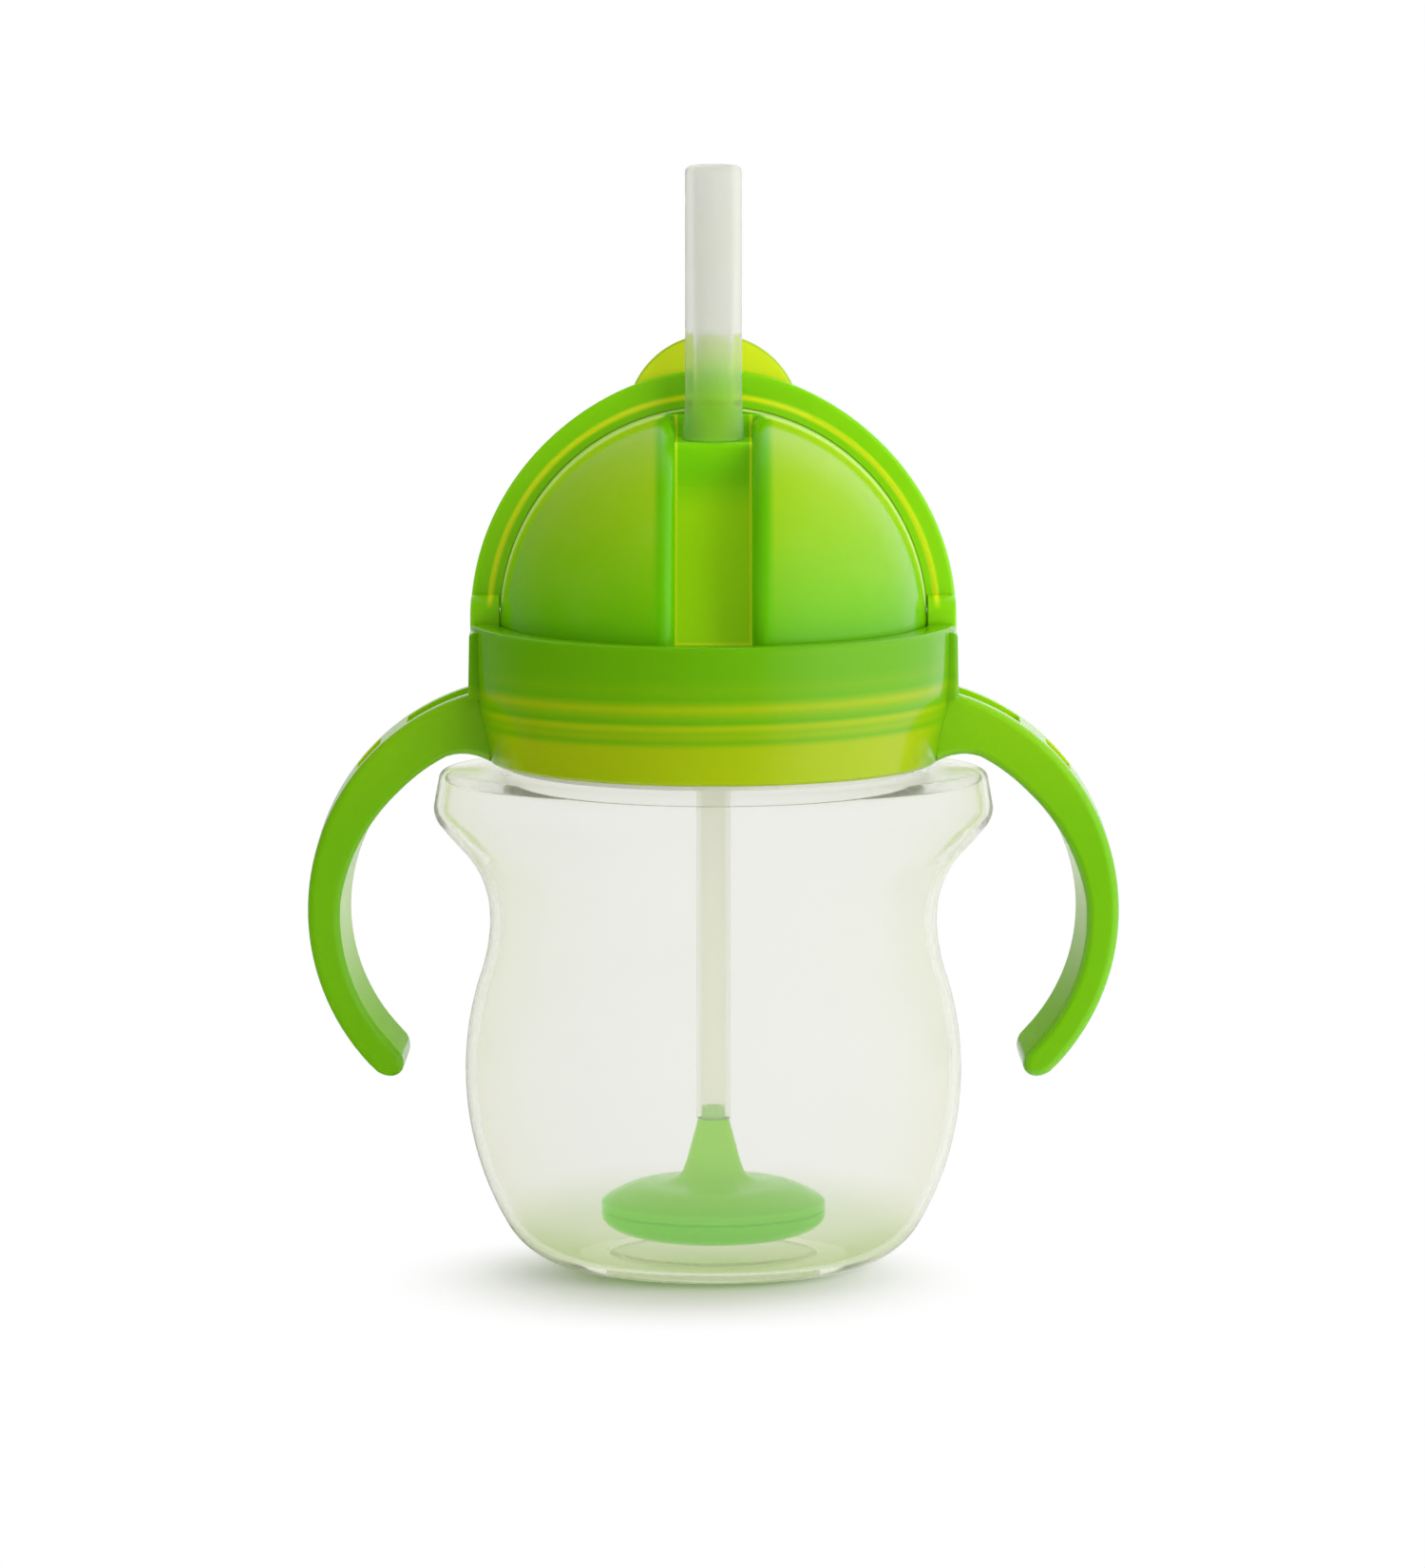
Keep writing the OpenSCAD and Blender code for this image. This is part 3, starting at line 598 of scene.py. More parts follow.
# Cup: one frosted shell, round below, drawn to a lens shape at the shoulder
cupSizes = {
    "bellyRadius": 42 * mm, "bellyHeight": 33 * mm, "lowerCurve": 52 * mm, "footEdge": 14 * mm,
    "recessRadius": 17 * mm, "recessDepth": 0.5 * mm,
    "waistRadius": 37.8 * mm, "waistHeight": 59 * mm, "bulgeShare": 0.63,
    "flareCurve": 17 * mm, "flareAngle": 43,
    "earReach": 47.5 * mm, "earEdge": 4 * mm, "earLean": 1.1 * mm, "earTop": 1.4 * mm, "earPoint": 0.9 * mm,
    "shoulderDepth": 38.6 * mm, "shoulderHeight": 84 * mm, "crease": 2.4 * mm, "frontTop": 7 * mm,
    "wallTop": 70 * mm, "drawRise": 4 * mm, "topGap": 0.1 * mm, "milkyFrom": 0.6 * mm,
    "neckRadius": 35 * mm, "neckFillet": 1.2 * mm, "rimHeight": 102 * mm, "rimEdge": 0.6 * mm,
    "wall": 1.8 * mm, "segments": 256,
    "threadPitch": 4.5 * mm, "threadStart": 90 * mm, "threadDepth": 1.4 * mm,
    "threadTurns": 2, "threadSteps": 72,
    "threadRoot": 1.7 * mm, "threadCrest": 0.9 * mm, "threadSink": 0.4 * mm,
}


def cupOutline(s):
    rise, draw = s["waistHeight"] - s["bellyHeight"], s["bellyRadius"] - s["waistRadius"]
    sCurve = (rise ** 2 + draw ** 2) / (2 * draw)
    bulge = sCurve * s["bulgeShare"]
    hollow = sCurve - bulge
    turn = math.degrees(math.asin(rise / sCurve))
    lowerX = s["bellyRadius"] - s["lowerCurve"]
    inner, drop = s["lowerCurve"] - s["footEdge"], s["bellyHeight"] - s["footEdge"]
    footX = lowerX + math.sqrt(inner ** 2 - drop ** 2)
    footTurn = -math.degrees(math.asin(drop / inner))
    lean = math.radians(s["flareAngle"])
    flareX = s["waistRadius"] + s["flareCurve"] * (1 - math.cos(lean))
    flareZ = s["waistHeight"] + s["flareCurve"] * math.sin(lean)
    bendX, bendZ = s["earEdge"] * math.cos(lean), s["earEdge"] * math.sin(lean)
    earX = s["earReach"] - s["earEdge"]
    earZ = flareZ + (earX + bendX - flareX) / math.tan(lean) + bendZ
    shoulder = s["shoulderHeight"]
    topX, topZ = s["earReach"] - s["earLean"] - s["earTop"], shoulder - s["earTop"]
    filletX = s["neckRadius"] + s["neckFillet"]
    recess, step = s["recessRadius"], s["recessDepth"]
    outline = [(0, step), (recess / 2, step), (recess, step), (recess + step, 0)]
    outline += arc((footX, s["footEdge"]), s["footEdge"], -90, footTurn, 20)
    outline += arc((lowerX, s["bellyHeight"]), s["lowerCurve"], footTurn, 0, 22)[1:]
    outline += arc((s["bellyRadius"] - bulge, s["bellyHeight"]), bulge, 0, turn, 16)[1:]
    outline += arc((s["waistRadius"] + hollow, s["waistHeight"]), hollow, 180 + turn, 180, 16)[1:]
    outline += arc((s["waistRadius"] + s["flareCurve"], s["waistHeight"]), s["flareCurve"], 180,
                   180 - s["flareAngle"], 18)[1:]
    outline += [((flareX + earX + bendX) / 2, (flareZ + earZ - bendZ) / 2)]
    outline += arc((earX, earZ), s["earEdge"], -s["flareAngle"], 0, 8)
    outline += [((s["earReach"] + topX + s["earTop"]) / 2, (earZ + topZ) / 2)]
    outline += arc((topX, topZ), s["earTop"], 0, 90, 5)
    outline += [((2 * topX + filletX) / 3, shoulder), ((topX + 2 * filletX) / 3, shoulder)]
    outline += arc((filletX, shoulder + s["neckFillet"]), s["neckFillet"], -90, -180, 4)
    neckTop = s["rimHeight"] - s["rimEdge"]
    outline += [(s["neckRadius"], shoulder + (neckTop - shoulder) * i / 5) for i in range(1, 5)]
    outline += arc((s["neckRadius"] - s["rimEdge"], neckTop), s["rimEdge"], 0, 90, 3)
    return outline


# the smaller of two values, rounded off where they cross
def softMin(a, b, width):
    return min(a, b) - max(width - abs(a - b), 0) ** 2 / (4 * width)


def drawShoulder(cup, s):
    tip = s["earReach"] + s["earPoint"]
    lensRadius = (tip ** 2 + s["shoulderDepth"] ** 2) / (2 * s["shoulderDepth"])
    lensBack = lensRadius - s["shoulderDepth"]
    edgeX = s["earReach"] - s["earLean"]
    filletX = s["neckRadius"] + s["neckFillet"]
    topZ = s["shoulderHeight"] - s["earTop"]
    for v in cup.data.vertices:
        r = math.hypot(v.co.x, v.co.y)
        if v.co.z <= s["waistHeight"] or r <= filletX:
            continue
        lens = math.sqrt(lensRadius ** 2 - (lensBack * v.co.x / r) ** 2) - lensBack * abs(v.co.y) / r
        # the shoulder's corner is rounder to the front and back
        corner = s["earTop"] + (s["frontTop"] - s["earTop"]) * (v.co.y / r) ** 2
        if v.co.z < topZ - tiny:
            share = min(1, (v.co.z - s["waistHeight"]) / s["drawRise"])
            wanted = r + (softMin(r, lens, s["crease"]) - r) * share
            over = max(0, v.co.z - s["wallTop"]) / (topZ - s["wallTop"])
            v.co.z -= over * (corner - s["earTop"])
        else:
            edge = softMin(edgeX, lens, s["crease"])
            inset = edgeX - r
            turn = min(corner, edge - filletX - s["topGap"])
            along = (inset - s["earTop"]) / (edgeX - s["earTop"] - filletX)
            if inset <= s["earTop"]:
                wanted = edge - turn * inset / s["earTop"]
                v.co.z = s["shoulderHeight"] - (s["shoulderHeight"] - v.co.z) * corner / s["earTop"]
            else:
                wanted = (edge - turn) * (1 - along) + filletX * along
        v.co.x *= wanted / r
        v.co.y *= wanted / r


def makeNeckThread(s):
    root, crest = s["neckRadius"] - s["threadSink"], s["neckRadius"] + s["threadDepth"]
    wide, slim = s["threadRoot"], s["threadCrest"]
    tooth = [(root, -wide), (crest, -slim), (crest, slim), (root, wide)]
    thread = traceLine("neckThread", [(r, 0, s["threadStart"] + h / 2) for r, h in tooth], closed=True)
    objectMode()
    addModifier(thread, "SCREW", angle=math.tau, screw_offset=s["threadPitch"], iterations=s["threadTurns"],
                steps=s["threadSteps"], render_steps=s["threadSteps"], use_merge_vertices=False)
    activate(thread)
    editMode()
    closeHoles()
    objectMode()
    return thread


def makeCup():
    s = cupSizes
    cup = lathe("cupShell", cupOutline(s), (0, 0), closed=False, steps=s["segments"])
    drawShoulder(cup, s)
    addModifier(cup, "SOLIDIFY", thickness=s["wall"], offset=-1, use_even_offset=True)
    combine(cup, makeNeckThread(s), "UNION")
    mergeSeams(cup)
    smooth(cup, 40)
    paint(cup, frostedPlastic)
    cup.data.materials.append(milkyNeck)
    for face in cup.data.polygons:
        inside = math.hypot(face.center.x, face.center.y) < s["neckRadius"] + s["threadDepth"]
        face.material_index = 1 if inside and face.center.z > s["shoulderHeight"] + s["milkyFrom"] else 0
    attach(cup, "cup")
    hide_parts("cup_body")
    print("cup shell:", len(cup.data.polygons), "faces")


# Collar: screw ring of the lid, with a lip round the dome's foot and pockets for the pivot discs
collarSizes = {
    "footRadius": 38.2 * mm, "topRadius": 41 * mm, "footHeight": 85.8 * mm, "topHeight": 109.2 * mm,
    "sideLine": ((38.2, 86.3), (38.6, 88.6), (39.2, 91.6), (40, 94.6), (40.6, 97.6), (40.85, 100.6),
                 (40.95, 104.4)),
    "chamfer": 0.5 * mm, "edge": 0.8 * mm, "bore": 36.9 * mm, "lipBore": 36.3 * mm, "lipEdge": 0.5 * mm,
    "webLow": 103.6 * mm, "webHigh": 105.2 * mm, "webHole": 23.5 * mm,
    "pocketRadius": 4.6 * mm, "pocketStart": 36.2 * mm, "pocketDepth": 6 * mm, "segments": 160,
    "padOutline": ((37.5, 97), (41.2, 97), (41, 108.3), (37.5, 108.7)),
    "padHalf": 10.8 * mm, "padEdge": 0.7 * mm, "padInside": 38 * mm,
}


def crossCylinder(name, radius, fromX, toX, center, segments=64):
    clearSelection()
    bpy.ops.mesh.primitive_cylinder_add(vertices=segments, radius=radius, depth=abs(toX - fromX),
                                        location=(center[0] + (fromX + toX) / 2, center[1], center[2]),
                                        rotation=(0, math.pi / 2, 0))
    cylinder = bpy.context.object
    cylinder.name = name
    bpy.ops.object.transform_apply(location=True, rotation=True, scale=True)
    return cylinder


def slab(name, points, along):
    piece = traceLine(name, points, closed=True)
    bpy.ops.mesh.select_all(action="SELECT")
    bpy.ops.mesh.edge_face_add()
    bpy.ops.mesh.extrude_region_move(TRANSFORM_OT_translate={"value": along})
    tidyMesh()
    return piece


def makePad(s, side):
    points = [(side * x * mm, -s["padHalf"], z * mm) for x, z in s["padOutline"]]
    pad = slab("pivotPad", points, (0, 2 * s["padHalf"], 0))
    pick(pad, "EDGE", lambda e: all(abs(v.co.x) > s["padInside"] for v in e.verts))
    bpy.ops.mesh.bevel(offset=s["padEdge"], segments=4, affect="EDGES")
    tidyMesh()
    objectMode()
    paint(pad, collarGreen)
    return pad


def makeCollar():
    s = collarSizes
    edgeZ = s["topHeight"] - s["edge"]
    outline = [(s["footRadius"] - s["chamfer"], s["footHeight"])]
    outline += [(r * mm, z * mm) for r, z in s["sideLine"]]
    outline += arc((s["topRadius"] - s["edge"], edgeZ), s["edge"], 0, 90, 5)
    outline += arc((s["lipBore"] + s["lipEdge"], s["topHeight"] - s["lipEdge"]), s["lipEdge"], 90, 180, 4)
    outline += [(s["lipBore"], s["webHigh"]), (s["webHole"], s["webHigh"]), (s["webHole"], s["webLow"]),
                (s["bore"], s["webLow"]), (s["bore"], s["footHeight"])]
    collar = lathe("lidCollar", outline, (0, 0), steps=s["segments"])
    paint(collar, collarGreen)
    for side in (-1, 1):
        combine(collar, makePad(s, side), "UNION")
        pocket = crossCylinder("pocket", s["pocketRadius"], side * s["pocketStart"],
                               side * (s["pocketStart"] + s["pocketDepth"]), pivot)
        combine(collar, pocket, "DIFFERENCE")
    smooth(collar, 30)
    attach(collar, "lid")
    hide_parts("lid_collar")
    print("collar:", len(collar.data.polygons), "faces")


# Handles: open C bows with rounded edges and two hollows in the back
handleSizes = {
    "outerCenter": (30 * mm, 60.8 * mm), "outerRadius": 38.4 * mm,
    "gripCenter": (31 * mm, 60 * mm), "gripRadius": 30.4 * mm,
    "rootX": 37.6 * mm, "rootLow": 86.2 * mm, "rootEase": 45 * mm, "easeBow": 0.7 * mm, "easePower": 1.5,
    "endAngle": -45, "endGap": 2, "endCut": 12, "depth": 16 * mm, "edge": 1.4 * mm,
    "gripLean": 1.6 * mm, "leanFrom": 81 * mm, "leanTo": 62 * mm, "leanShare": 0.8, "gripFacing": 0.9,
    "hollows": ((38, 47), (55.5, 74)), "hollowWidth": 9 * mm, "hollowDepth": 3 * mm,
}


def handleOutline(s):
    (ox, oz), (gx, gz) = s["outerCenter"], s["gripCenter"]
    turn = math.radians(s["endAngle"])
    along = Vector((math.cos(turn), math.sin(turn)))
    offset = Vector((gx - ox, gz - oz))
    ahead = offset.dot(along)
    reach = math.sqrt(ahead ** 2 + s["outerRadius"] ** 2 - offset.length_squared) - ahead
    half = (reach - s["gripRadius"]) / 2
    end = Vector((gx, gz)) + along * (s["gripRadius"] + half)
    outerTurn = math.degrees(math.atan2(end.y - oz, end.x - ox))
    rootTurn = math.degrees(math.acos((s["rootX"] - ox) / s["outerRadius"]))
    easeTurn = math.degrees(math.acos((s["rootEase"] - gx) / s["gripRadius"]))
    gap, cut = s["endGap"], s["endCut"]
    outline = arc((ox, oz), s["outerRadius"], rootTurn, outerTurn + gap, 44)
    outline += arc(end, half, outerTurn - cut, outerTurn - 180 + cut, 12)
    outline += arc((gx, gz), s["gripRadius"], s["endAngle"] + gap, easeTurn, 40)
    easeX, easeZ = outline[-1]
    for i in range(1, 7):
        part = i / 6
        bow = 4 * part * (1 - part) * s["easeBow"]
        rise = (s["rootLow"] - easeZ) * part ** s["easePower"]
        outline.append((easeX + (s["rootX"] - easeX) * part, easeZ + rise + bow))
    return outline


# the grip's inner face leans back, so its front edge is cut away towards the outside
def leanGrip(handle, s):
    (gx, gz), r = s["gripCenter"], s["gripRadius"]
    thick = s["outerRadius"] - r
    for v in handle.data.vertices:
        away = Vector((v.co.x - gx, 0, v.co.z - gz))
        inner = 1 - min(1, max(0, (away.length - r) / (s["leanShare"] * thick)))
        low = min(1, max(0, (s["leanFrom"] - v.co.z) / (s["leanFrom"] - s["leanTo"])))
        front = 0.5 - v.co.y / s["depth"]
        v.co += away.normalized() * s["gripLean"] * inner * low * front


def makeHollow(s, fromAngle, toAngle):
    (ox, oz), r = s["outerCenter"], s["outerRadius"]
    a = math.radians(fromAngle)
    near, far = r - s["hollowDepth"], r + s["hollowDepth"]
    corners = [(near, -1), (far, -1), (far, 1), (near, 1)]
    points = [(ox + d * math.cos(a), w * s["hollowWidth"] / 2, oz + d * math.sin(a)) for d, w in corners]
    hollow = traceLine("hollow", points, closed=True)
    spinAll((ox, 0, oz), yLine, toAngle - fromAngle, 12)
    closeHoles()
    objectMode()
    # the cutter's faces carry the painted glow into the handle's hollows
    paint(hollow, hollowGlowGreen)
    return hollow


def makeHandles():
    s = handleSizes
    handle = slab("handleRight", [(x, -s["depth"] / 2, z) for x, z in handleOutline(s)], (0, s["depth"], 0))
    objectMode()
    leanGrip(handle, s)
    editMode()
    pick(handle, "EDGE", lambda e: abs(e.verts[0].co.y - e.verts[1].co.y) < tiny
         and max(v.co.x for v in e.verts) > s["rootX"] + loose)
    bpy.ops.mesh.bevel(offset=s["edge"], segments=5, profile=0.5, affect="EDGES", clamp_overlap=False)
    tidyMesh()
    objectMode()
    paint(handle, handleGreen)
    # the second material, on the grip's inward faces, carries the painted reflection
    handle.data.materials.append(gripGreen)
    middle = Vector((s["gripCenter"][0], 0, s["gripCenter"][1]))
    for face in handle.data.polygons:
        inward = (middle - face.center) * Vector((1, 0, 1))
        facing = face.normal.dot(inward.normalized()) > s["gripFacing"]
        face.material_index = 1 if facing and face.center.z < s["leanFrom"] else 0
    for fromAngle, toAngle in s["hollows"]:
        combine(handle, makeHollow(s, fromAngle, toAngle), "DIFFERENCE")
    activate(handle)
    bpy.ops.object.duplicate()
    other = bpy.context.object
    other.name = other.data.name = "handleLeft"
    editMode()
    bpy.ops.mesh.select_all(action="SELECT")
    bpy.ops.transform.resize(value=(-1, 1, 1), center_override=(0, 0, 0))
    tidyMesh()
    for piece in (handle, other):
        smooth(piece, 35, weighted=True)
        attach(piece, "lid")
        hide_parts("lid_collar")
    print("handles:", len(handle.data.polygons), "faces each")


# Dome: two lobes beside the straw's channel, closed at the back
domeSizes = {
    "radius": 36 * mm, "wall": 1.8 * mm, "channelHalf": 6.4 * mm, "lobeEdge": 2.2 * mm, "wallFoot": 20 * mm,
    "frontAngle": -7, "channelEnd": 88.6, "backAngle": 187,
    "ledgeHeight": 140.5 * mm, "ledgeFront": -12.2 * mm, "ledgeBack": -1.8 * mm, "ledgeNose": 1.0 * mm,
    "ledgeTop": 1.2 * mm, "kneeHeight": 133.5 * mm, "floorFoot": (-26 * mm, 105.2 * mm),
    "floorHalf": 8.0 * mm, "steps": 40,
}


def joinPieces(first, *others):
    activate(first)
    for piece in others:
        piece.select_set(True)
    bpy.ops.object.join()
    editMode()
    tidyMesh()
    return first


def sweepOverTop(name, outline, fromAngle, toAngle, steps):
    a = math.radians(fromAngle)
    points = [pivot + Vector((x, -r * math.cos(a), r * math.sin(a))) for x, r in outline]
    piece = traceLine(name, points, closed=True)
    spinAll(pivot, xLine, toAngle - fromAngle, steps)
    return piece


def capAt(piece, angle):
    a = math.radians(angle)
    across = Vector((0, math.sin(a), math.cos(a)))
    pick(piece, "EDGE", lambda e: len(e.link_faces) < 2
         and all(abs((v.co - pivot).dot(across)) < loose for v in e.verts))
    bpy.ops.mesh.fill(use_beauty=True)


def makeDomeShell(s):
    big, small, half, edge = s["radius"], s["radius"] - s["wall"], s["channelHalf"], s["lobeEdge"]
    edgeX = half + edge
    edgeR = math.sqrt((big - edge) ** 2 - edgeX ** 2)
    outerTurn = math.degrees(math.atan2(edgeR, edgeX))
    wallX = half + s["wall"]
    innerTurn = math.degrees(math.acos(wallX / small))
    outerSide = arc((0, 0), big, 0, outerTurn, 26)
    innerSide = arc((0, 0), small, innerTurn, 0, 26)
    lobe = outerSide + arc((edgeX, edgeR), edge, outerTurn, 180, 8)[1:]
    lobe += [(half, s["wallFoot"]), (wallX, s["wallFoot"])] + innerSide
    back = outerSide + arc((0, 0), big, outerTurn, 180 - outerTurn, 10)[1:-1]
    back += [(-x, r) for x, r in reversed(outerSide)] + [(-x, r) for x, r in reversed(innerSide)]
    back += arc((0, 0), small, 180 - innerTurn, innerTurn, 10)[1:-1] + innerSide
    right = sweepOverTop("lidDome", lobe, s["frontAngle"], s["channelEnd"], s["steps"])
    capAt(right, s["frontAngle"])
    mirrored = [(-x, r) for x, r in lobe]
    left = sweepOverTop("leftLobe", mirrored, s["frontAngle"], s["channelEnd"], s["steps"])
    capAt(left, s["frontAngle"])
    behind = sweepOverTop("backShell", back, s["channelEnd"], s["backAngle"], s["steps"])
    capAt(behind, s["backAngle"])
    objectMode()
    dome = joinPieces(right, left, behind)
    capAt(dome, s["channelEnd"])
    tidyMesh()
    objectMode()
    return dome


def makeChannelFloor(s):
    wall, nose = s["wall"], s["ledgeNose"]
    front, ledge, knee = s["ledgeFront"], s["ledgeHeight"], s["kneeHeight"]
    footY, footZ = s["floorFoot"]
    backY, backZ = s["ledgeBack"], pivot.z + s["radius"] - s["ledgeTop"]
    outline = [(backY, backZ), (backY, ledge)]
    outline += arc((front + nose, ledge - nose), nose, 90, 180, 5)
    outline += [(front, knee), (footY, footZ), (footY + wall, footZ), (front + wall, knee),
                (front + wall, ledge - wall), (backY + wall, ledge - wall), (backY + wall, backZ)]
    floor = slab("channelFloor", [(-s["floorHalf"], y, z) for y, z in outline], (2 * s["floorHalf"], 0, 0))
    objectMode()
    paint(floor, channelGreen)
    return floor


def makeDome():
    s = domeSizes
    dome = makeDomeShell(s)
    paint(dome, domeGreen)
    combine(dome, makeChannelFloor(s), "UNION")
    smooth(dome, 32)
    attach(dome, "lid")
    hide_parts("lid_dome")
    print("dome:", len(dome.data.polygons), "faces")


# Shutter: quarter ball that turns over the dome, with a stepped front rim, a thumb tab and pivot discs
shutterSizes = {
    "radius": 41 * mm, "skin": 2 * mm, "rimInner": 36.12 * mm, "rimBack": 3.3 * mm, "front": 0.3 * mm,
    "stepAt": 38.0 * mm, "stepDepth": 0.35 * mm, "stepSlope": 0.5 * mm,
    "edge": 0.7 * mm, "edgeInset": 0.02 * mm, "edgeTurn": 1.6, "gap": 0.3 * mm, "steps": 96,
    "crownRise": 1.2 * mm, "crownPower": 6,
    "tabTop": 157.5 * mm, "tabRadius": 14.7 * mm, "tabFoot": 40 * mm,
    "tabFrom": 2.4 * mm, "tabTo": 4.2 * mm, "tabEdge": 0.6 * mm,
    "discRadius": 4.2 * mm, "discFrom": 36.15 * mm, "discReach": 41.05 * mm, "discEdge": 0.5 * mm,
    "discCut": 0.15 * mm, "discSteps": 64, "pinRadius": 2.5 * mm, "pinFrom": 36.05 * mm,
    "notchRadius": 7 * mm, "notchDepth": 0.9 * mm, "notchMargin": 1 * mm,
}


# the outside rises a little at the top, towards the thumb tab
def raiseCrown(shell, s):
    for v in shell.data.vertices:
        away = v.co - pivot
        share = max(0, (away.length - s["rimInner"]) / (s["radius"] - s["rimInner"]))
        v.co.z += s["crownRise"] * share * (away.z / away.length) ** s["crownPower"]


def makeShutterShell(s):
    big, small, front = s["radius"], s["radius"] - s["skin"], s["front"]
    start = math.degrees(math.asin(front / big))
    inset = front + s["stepDepth"]
    outline = [(s["rimInner"], inset), (s["stepAt"] - s["stepSlope"], inset), (s["stepAt"], front)]
    outline += arc((big - s["edge"] - s["edgeInset"], front + s["edge"]), s["edge"], -90, 0, 5)
    outline += arc((0, 0), big, start + s["edgeTurn"], 90, 40)
    outline += arc((0, 0), small, 90, math.degrees(math.asin(s["rimBack"] / small)), 38)
    outline += [(s["rimInner"], s["rimBack"])]
    shell = traceLine("shutterHood", [(r, y, pivot.z) for r, y in outline], closed=True)
    spinAll(pivot, yLine, 180, s["steps"])
    bpy.ops.mesh.select_all(action="SELECT")
    bpy.ops.mesh.bisect(plane_co=(0, 0, pivot.z + s["gap"]), plane_no=zLine, clear_inner=True,
                        use_fill=True)
    tidyMesh()
    objectMode()
    raiseCrown(shell, s)
    return shell


def makeTab(s):
    middle = s["tabTop"] - s["tabRadius"] - pivot.z      # height of the tab's own centre above the pivot
    cross = (s["tabFoot"] ** 2 - s["tabRadius"] ** 2 + middle ** 2) / (2 * middle)
    fromTurn = math.degrees(math.asin((cross - middle) / s["tabRadius"]))
    footTurn = math.degrees(math.asin(cross / s["tabFoot"]))
    outline = arc((0, middle), s["tabRadius"], fromTurn, 180 - fromTurn, 36)
    outline += arc((0, 0), s["tabFoot"], 180 - footTurn, footTurn, 16)[1:-1]
    points = [(x, s["tabFrom"], pivot.z + z) for x, z in outline]
    tab = slab("thumbTab", points, (0, s["tabTo"] - s["tabFrom"], 0))
    pick(tab, "EDGE", lambda e: abs(e.verts[0].co.y - e.verts[1].co.y) < tiny)
    bpy.ops.mesh.bevel(offset=s["tabEdge"], segments=3, profile=0.5, affect="EDGES", clamp_overlap=False)
    tidyMesh()
    objectMode()
    paint(tab, tabGreen)
    return tab


def makeDisc(s, side):
    reach, r, edge, cut = s["discReach"], s["discRadius"], s["discEdge"], s["discCut"]
    outline = arc((0, 0), reach, 0, math.degrees(math.asin((r - edge) / reach)), 6)
    endX = outline[-1][0]
    outline += [(endX - cut, r - cut), (endX - edge, r), (s["discFrom"], r), (s["discFrom"], s["pinRadius"]),
                (s["pinFrom"], s["pinRadius"]), (s["pinFrom"], 0)]
    points = [pivot + Vector((side * x, 0, h)) for x, h in outline]
    disc = traceLine("disc", points, closed=True)
    spinAll(pivot, xLine, 360, s["discSteps"])
    objectMode()
    paint(disc, shutterGreen)
    return disc


# shallow hollow in the rim behind the straw, which clears the folded straw's tip
def makeNotch(s):
    middle, margin = s["rimInner"] + s["notchDepth"] - s["notchRadius"], s["notchMargin"]
    outline = arc((0, middle), s["notchRadius"], 0, 360, 48)[:-1]
    points = [(x, -margin, pivot.z + z) for x, z in outline]
    notch = slab("notch", points, (0, s["rimBack"] + 2 * margin, 0))
    objectMode()
    paint(notch, shutterGreen)
    return notch


def makeShutter():
    s = shutterSizes
    shutter = makeShutterShell(s)
    paint(shutter, shutterGreen)
    combine(shutter, makeNotch(s), "DIFFERENCE")
    combine(shutter, makeTab(s), "UNION")
    for side in (-1, 1):
        combine(shutter, makeDisc(s, side), "UNION")
    mergeSeams(shutter)
    smooth(shutter, 32)
    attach(shutter, "shutter")
    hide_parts("shutter")
    print("shutter:", len(shutter.data.polygons), "faces")


# Straw, tube and weight on one upright line
strawSizes = {
    "radius": 4.75 * mm, "bore": 3 * mm, "foot": 140.5 * mm, "top": 186.5 * mm, "lip": 1.1 * mm,
    "flare": 5.35 * mm, "flareEdge": 0.3 * mm, "flareTaper": 0.2 * mm,
    "bendLow": 141.3 * mm, "bendHigh": 146.8 * mm, "ring": 1.5 * mm, "segments": 48,
    "stem": 3.6 * mm, "stemBore": 2.2 * mm, "stemFoot": 128.5 * mm, "stemStop": 0.5 * mm, "stemRing": 3 * mm,
    "boreStep": 169.5 * mm, "boreSlope": 0.3 * mm, "boreAbove": 3.15 * mm, "boreEdge": 0.5 * mm,
    "boreTop": 1.5 * mm,
}
tubeSizes = {
    "radius": 2.85 * mm, "bore": 2 * mm, "low": 25.5 * mm, "middle": 70 * mm, "high": 123.5 * mm,
    "ring": 3 * mm, "segments": 40,
}
# the neck's two lines are in mm from neckFoot and neckTop
weightSizes = {
    "radius": 18.9 * mm, "low": 5.4 * mm, "part": 10 * mm, "rim": 11.7 * mm, "footRadius": 9 * mm,
    "sideDrop": 0.9 * mm, "chamfer": 0.3 * mm, "edge": 0.5 * mm, "dishRise": 2.9 * mm, "dishEdge": 11 * mm,
    "neckFoot": (5.2 * mm, 16.4 * mm), "footLine": ((2.4, -1.5), (1, -0.9), (0, 0), (-0.7, 2)),
    "neckTop": (2.6 * mm, 25.5 * mm), "topLine": ((0.8, -3), (0, 0)),
    "spigot": 1.95 * mm, "spigotTop": 27.5 * mm, "bore": 1.2 * mm, "segments": 96,
}


def rings(low, high, step):
    count = max(1, round((high - low) / step))
    return [low + (high - low) * i / count for i in range(count + 1)]


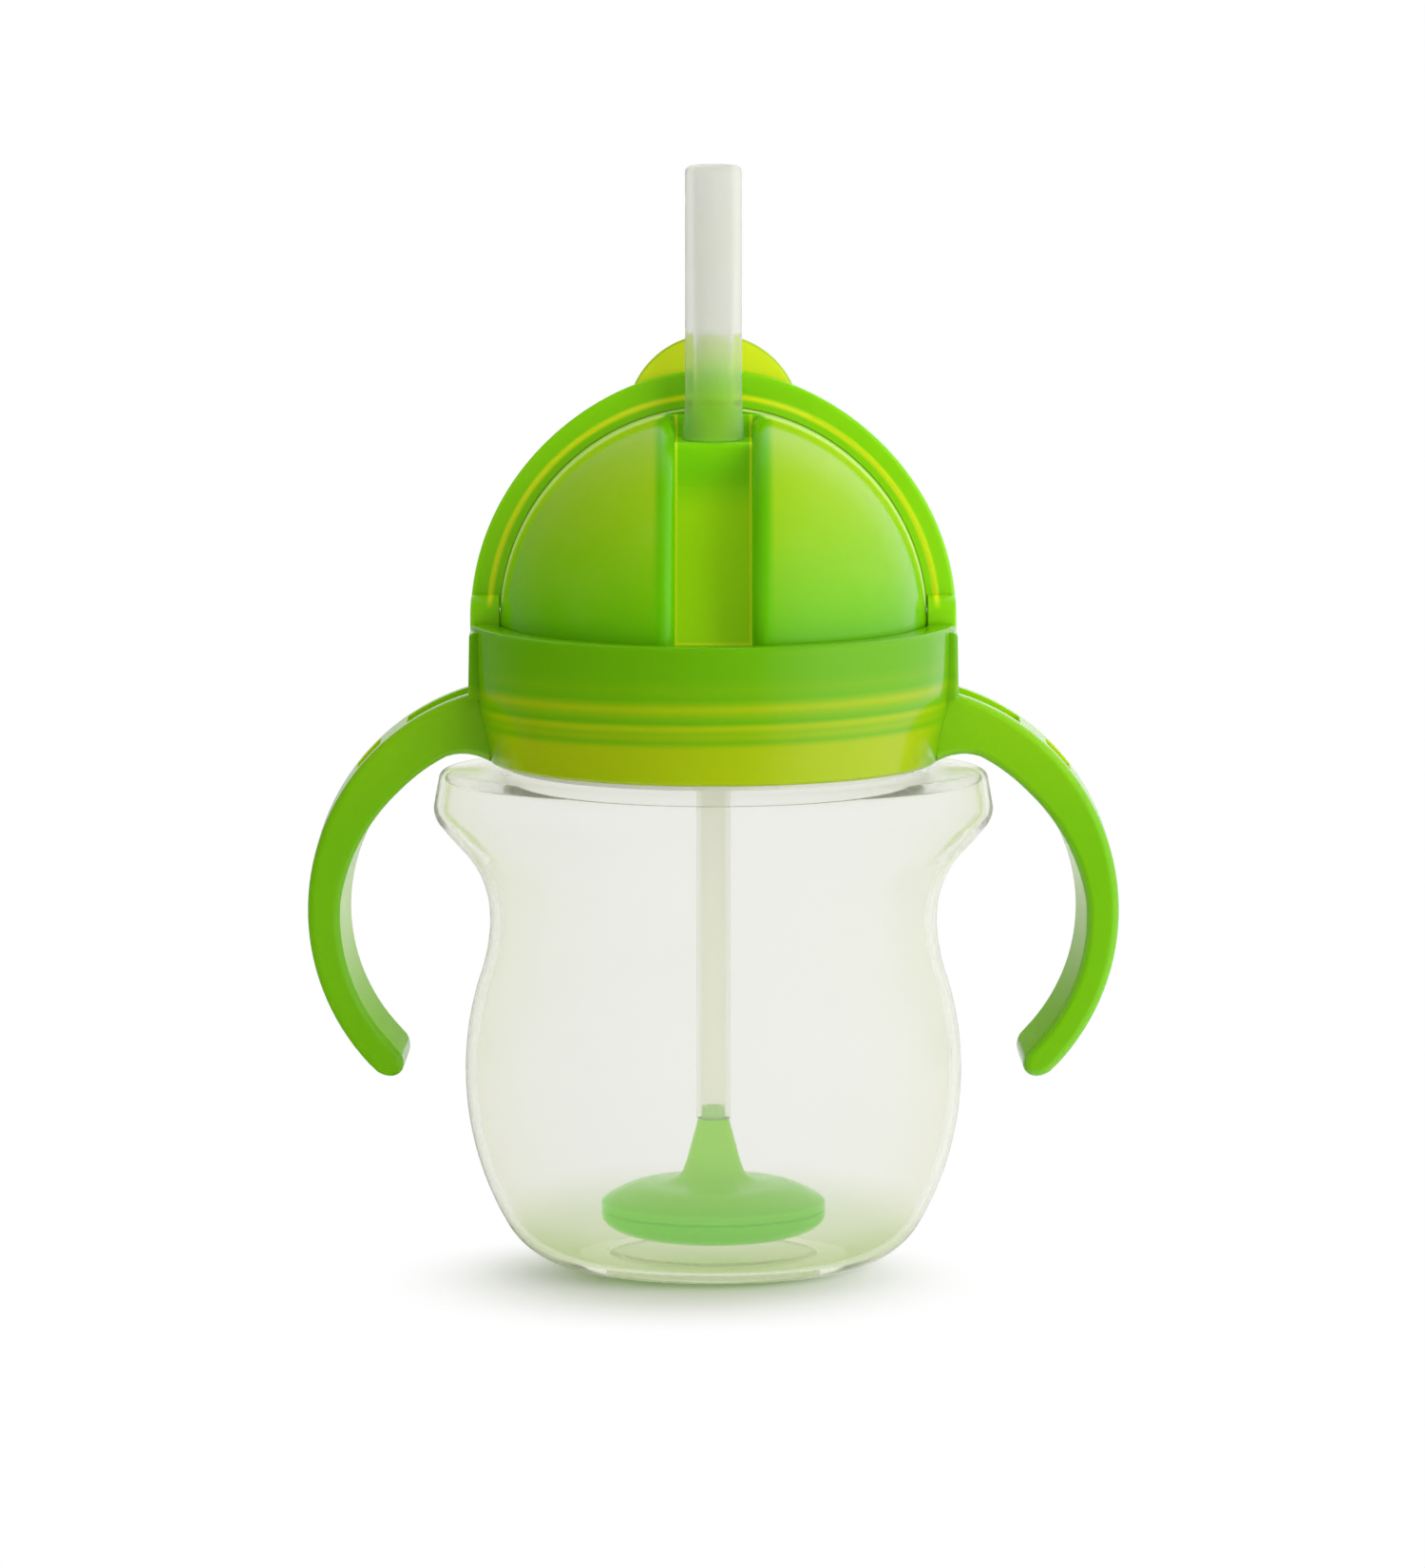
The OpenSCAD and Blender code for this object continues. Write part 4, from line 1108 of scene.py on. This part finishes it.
def makeStraw():
    s = strawSizes
    lip, rim, foot, top = s["lip"], s["boreEdge"], s["foot"], s["top"]
    flare, ease = s["flare"], s["flareEdge"]
    above = rings(s["boreStep"], top - s["boreTop"], s["ring"])
    below = rings(s["bendHigh"], s["boreStep"] - s["boreSlope"], s["ring"])
    inStem = rings(s["stemFoot"], foot - s["stemStop"], s["stemRing"])
    outline = [(s["stem"], z) for z in rings(s["stemFoot"], foot, s["stemRing"])]
    outline += [(flare - ease, foot), (flare, foot + ease), (flare - s["flareTaper"], s["bendLow"])]
    outline += [(s["radius"], z) for z in rings(s["bendHigh"], top - lip, s["ring"])]
    outline += arc((s["radius"] - lip, top - lip), lip, 0, 90, 5)[1:]
    outline += arc((s["boreAbove"] + rim, top - rim), rim, 90, 180, 3)
    outline += [(s["boreAbove"], z) for z in reversed(above)]
    outline += [(s["bore"], z) for z in reversed(below)]
    outline += [(s["bore"], s["bendLow"])]
    outline += [(s["stemBore"], z) for z in reversed(inStem)]
    straw = lathe("drinkingStraw", outline, strawLine, steps=s["segments"])
    smooth(straw, 40)
    paint(straw, milkySilicone)
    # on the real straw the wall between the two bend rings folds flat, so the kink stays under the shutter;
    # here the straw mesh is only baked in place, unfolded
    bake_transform(straw)
    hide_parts("spout_straw")


def makeTube():
    s = tubeSizes
    spans = (("dropTubeUpper", s["middle"], s["high"], "lid", "tube"),
             ("dropTubeLower", s["low"], s["middle"], "tube", "weight"))
    for name, low, high, above, below in spans:
        levels = rings(low, high, s["ring"])
        if above == "tube":
            levels.reverse()
        outline = [(s["radius"], z) for z in levels] + [(s["bore"], z) for z in reversed(levels)]
        tube = lathe(name, outline, strawLine, closed=False, steps=s["segments"])
        smooth(tube, 40)
        paint(tube, milkyTube)
        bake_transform(tube)
        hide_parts("drop_tube")


def makeWeight():
    s = weightSizes
    r, edge, cut = s["radius"], s["edge"], s["chamfer"]
    low, part, rim, foot = s["low"], s["part"], s["rim"], s["footRadius"]
    (neckR, neckZ), (topR, topZ) = s["neckFoot"], s["neckTop"]
    shares = [i / 8 for i in range(1, 9)]
    bows = [math.pi / 2 * share for share in shares]
    cap = [(r - cut, part), (r, part + cut), (r, rim - edge)]
    cap += arc((r - edge, rim - edge), edge, 0, 70, 4)[1:]
    cap += [(r + (s["dishEdge"] - r) * share, rim + s["dishRise"] * math.sin(bow))
            for share, bow in zip(shares, bows)]
    cap += [(neckR + x * mm, neckZ + z * mm) for x, z in s["footLine"]]
    cap += [(topR + x * mm, topZ + z * mm) for x, z in s["topLine"]]
    cap += [(s["spigot"], topZ), (s["spigot"], s["spigotTop"])]
    cap += [(s["bore"], s["spigotTop"]), (s["bore"], neckZ), (s["bore"], part)]
    rise = part - s["sideDrop"] - low
    base = [(0, low), (foot / 2, low), (foot, low)]
    base += [(foot + (r - foot) * math.sin(bow), low + rise * (1 - math.cos(bow))) for bow in bows]
    base += [(r, part - cut), (r - cut, part), (0, part)]
    halves = (("weightCap", cap, "weight_cap", True), ("weightBase", base, "weight_base", False))
    for name, outline, node, closed in halves:
        piece = lathe(name, outline, strawLine, closed=closed, steps=s["segments"])
        smooth(piece, 30)
        paint(piece, weightGreen)
        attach(piece, "weight")
        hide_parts(node)
    print("straw, tube and weight made")


makeCup()
makeCollar()
makeHandles()
makeDome()
makeShutter()
makeStraw()
makeTube()
makeWeight()
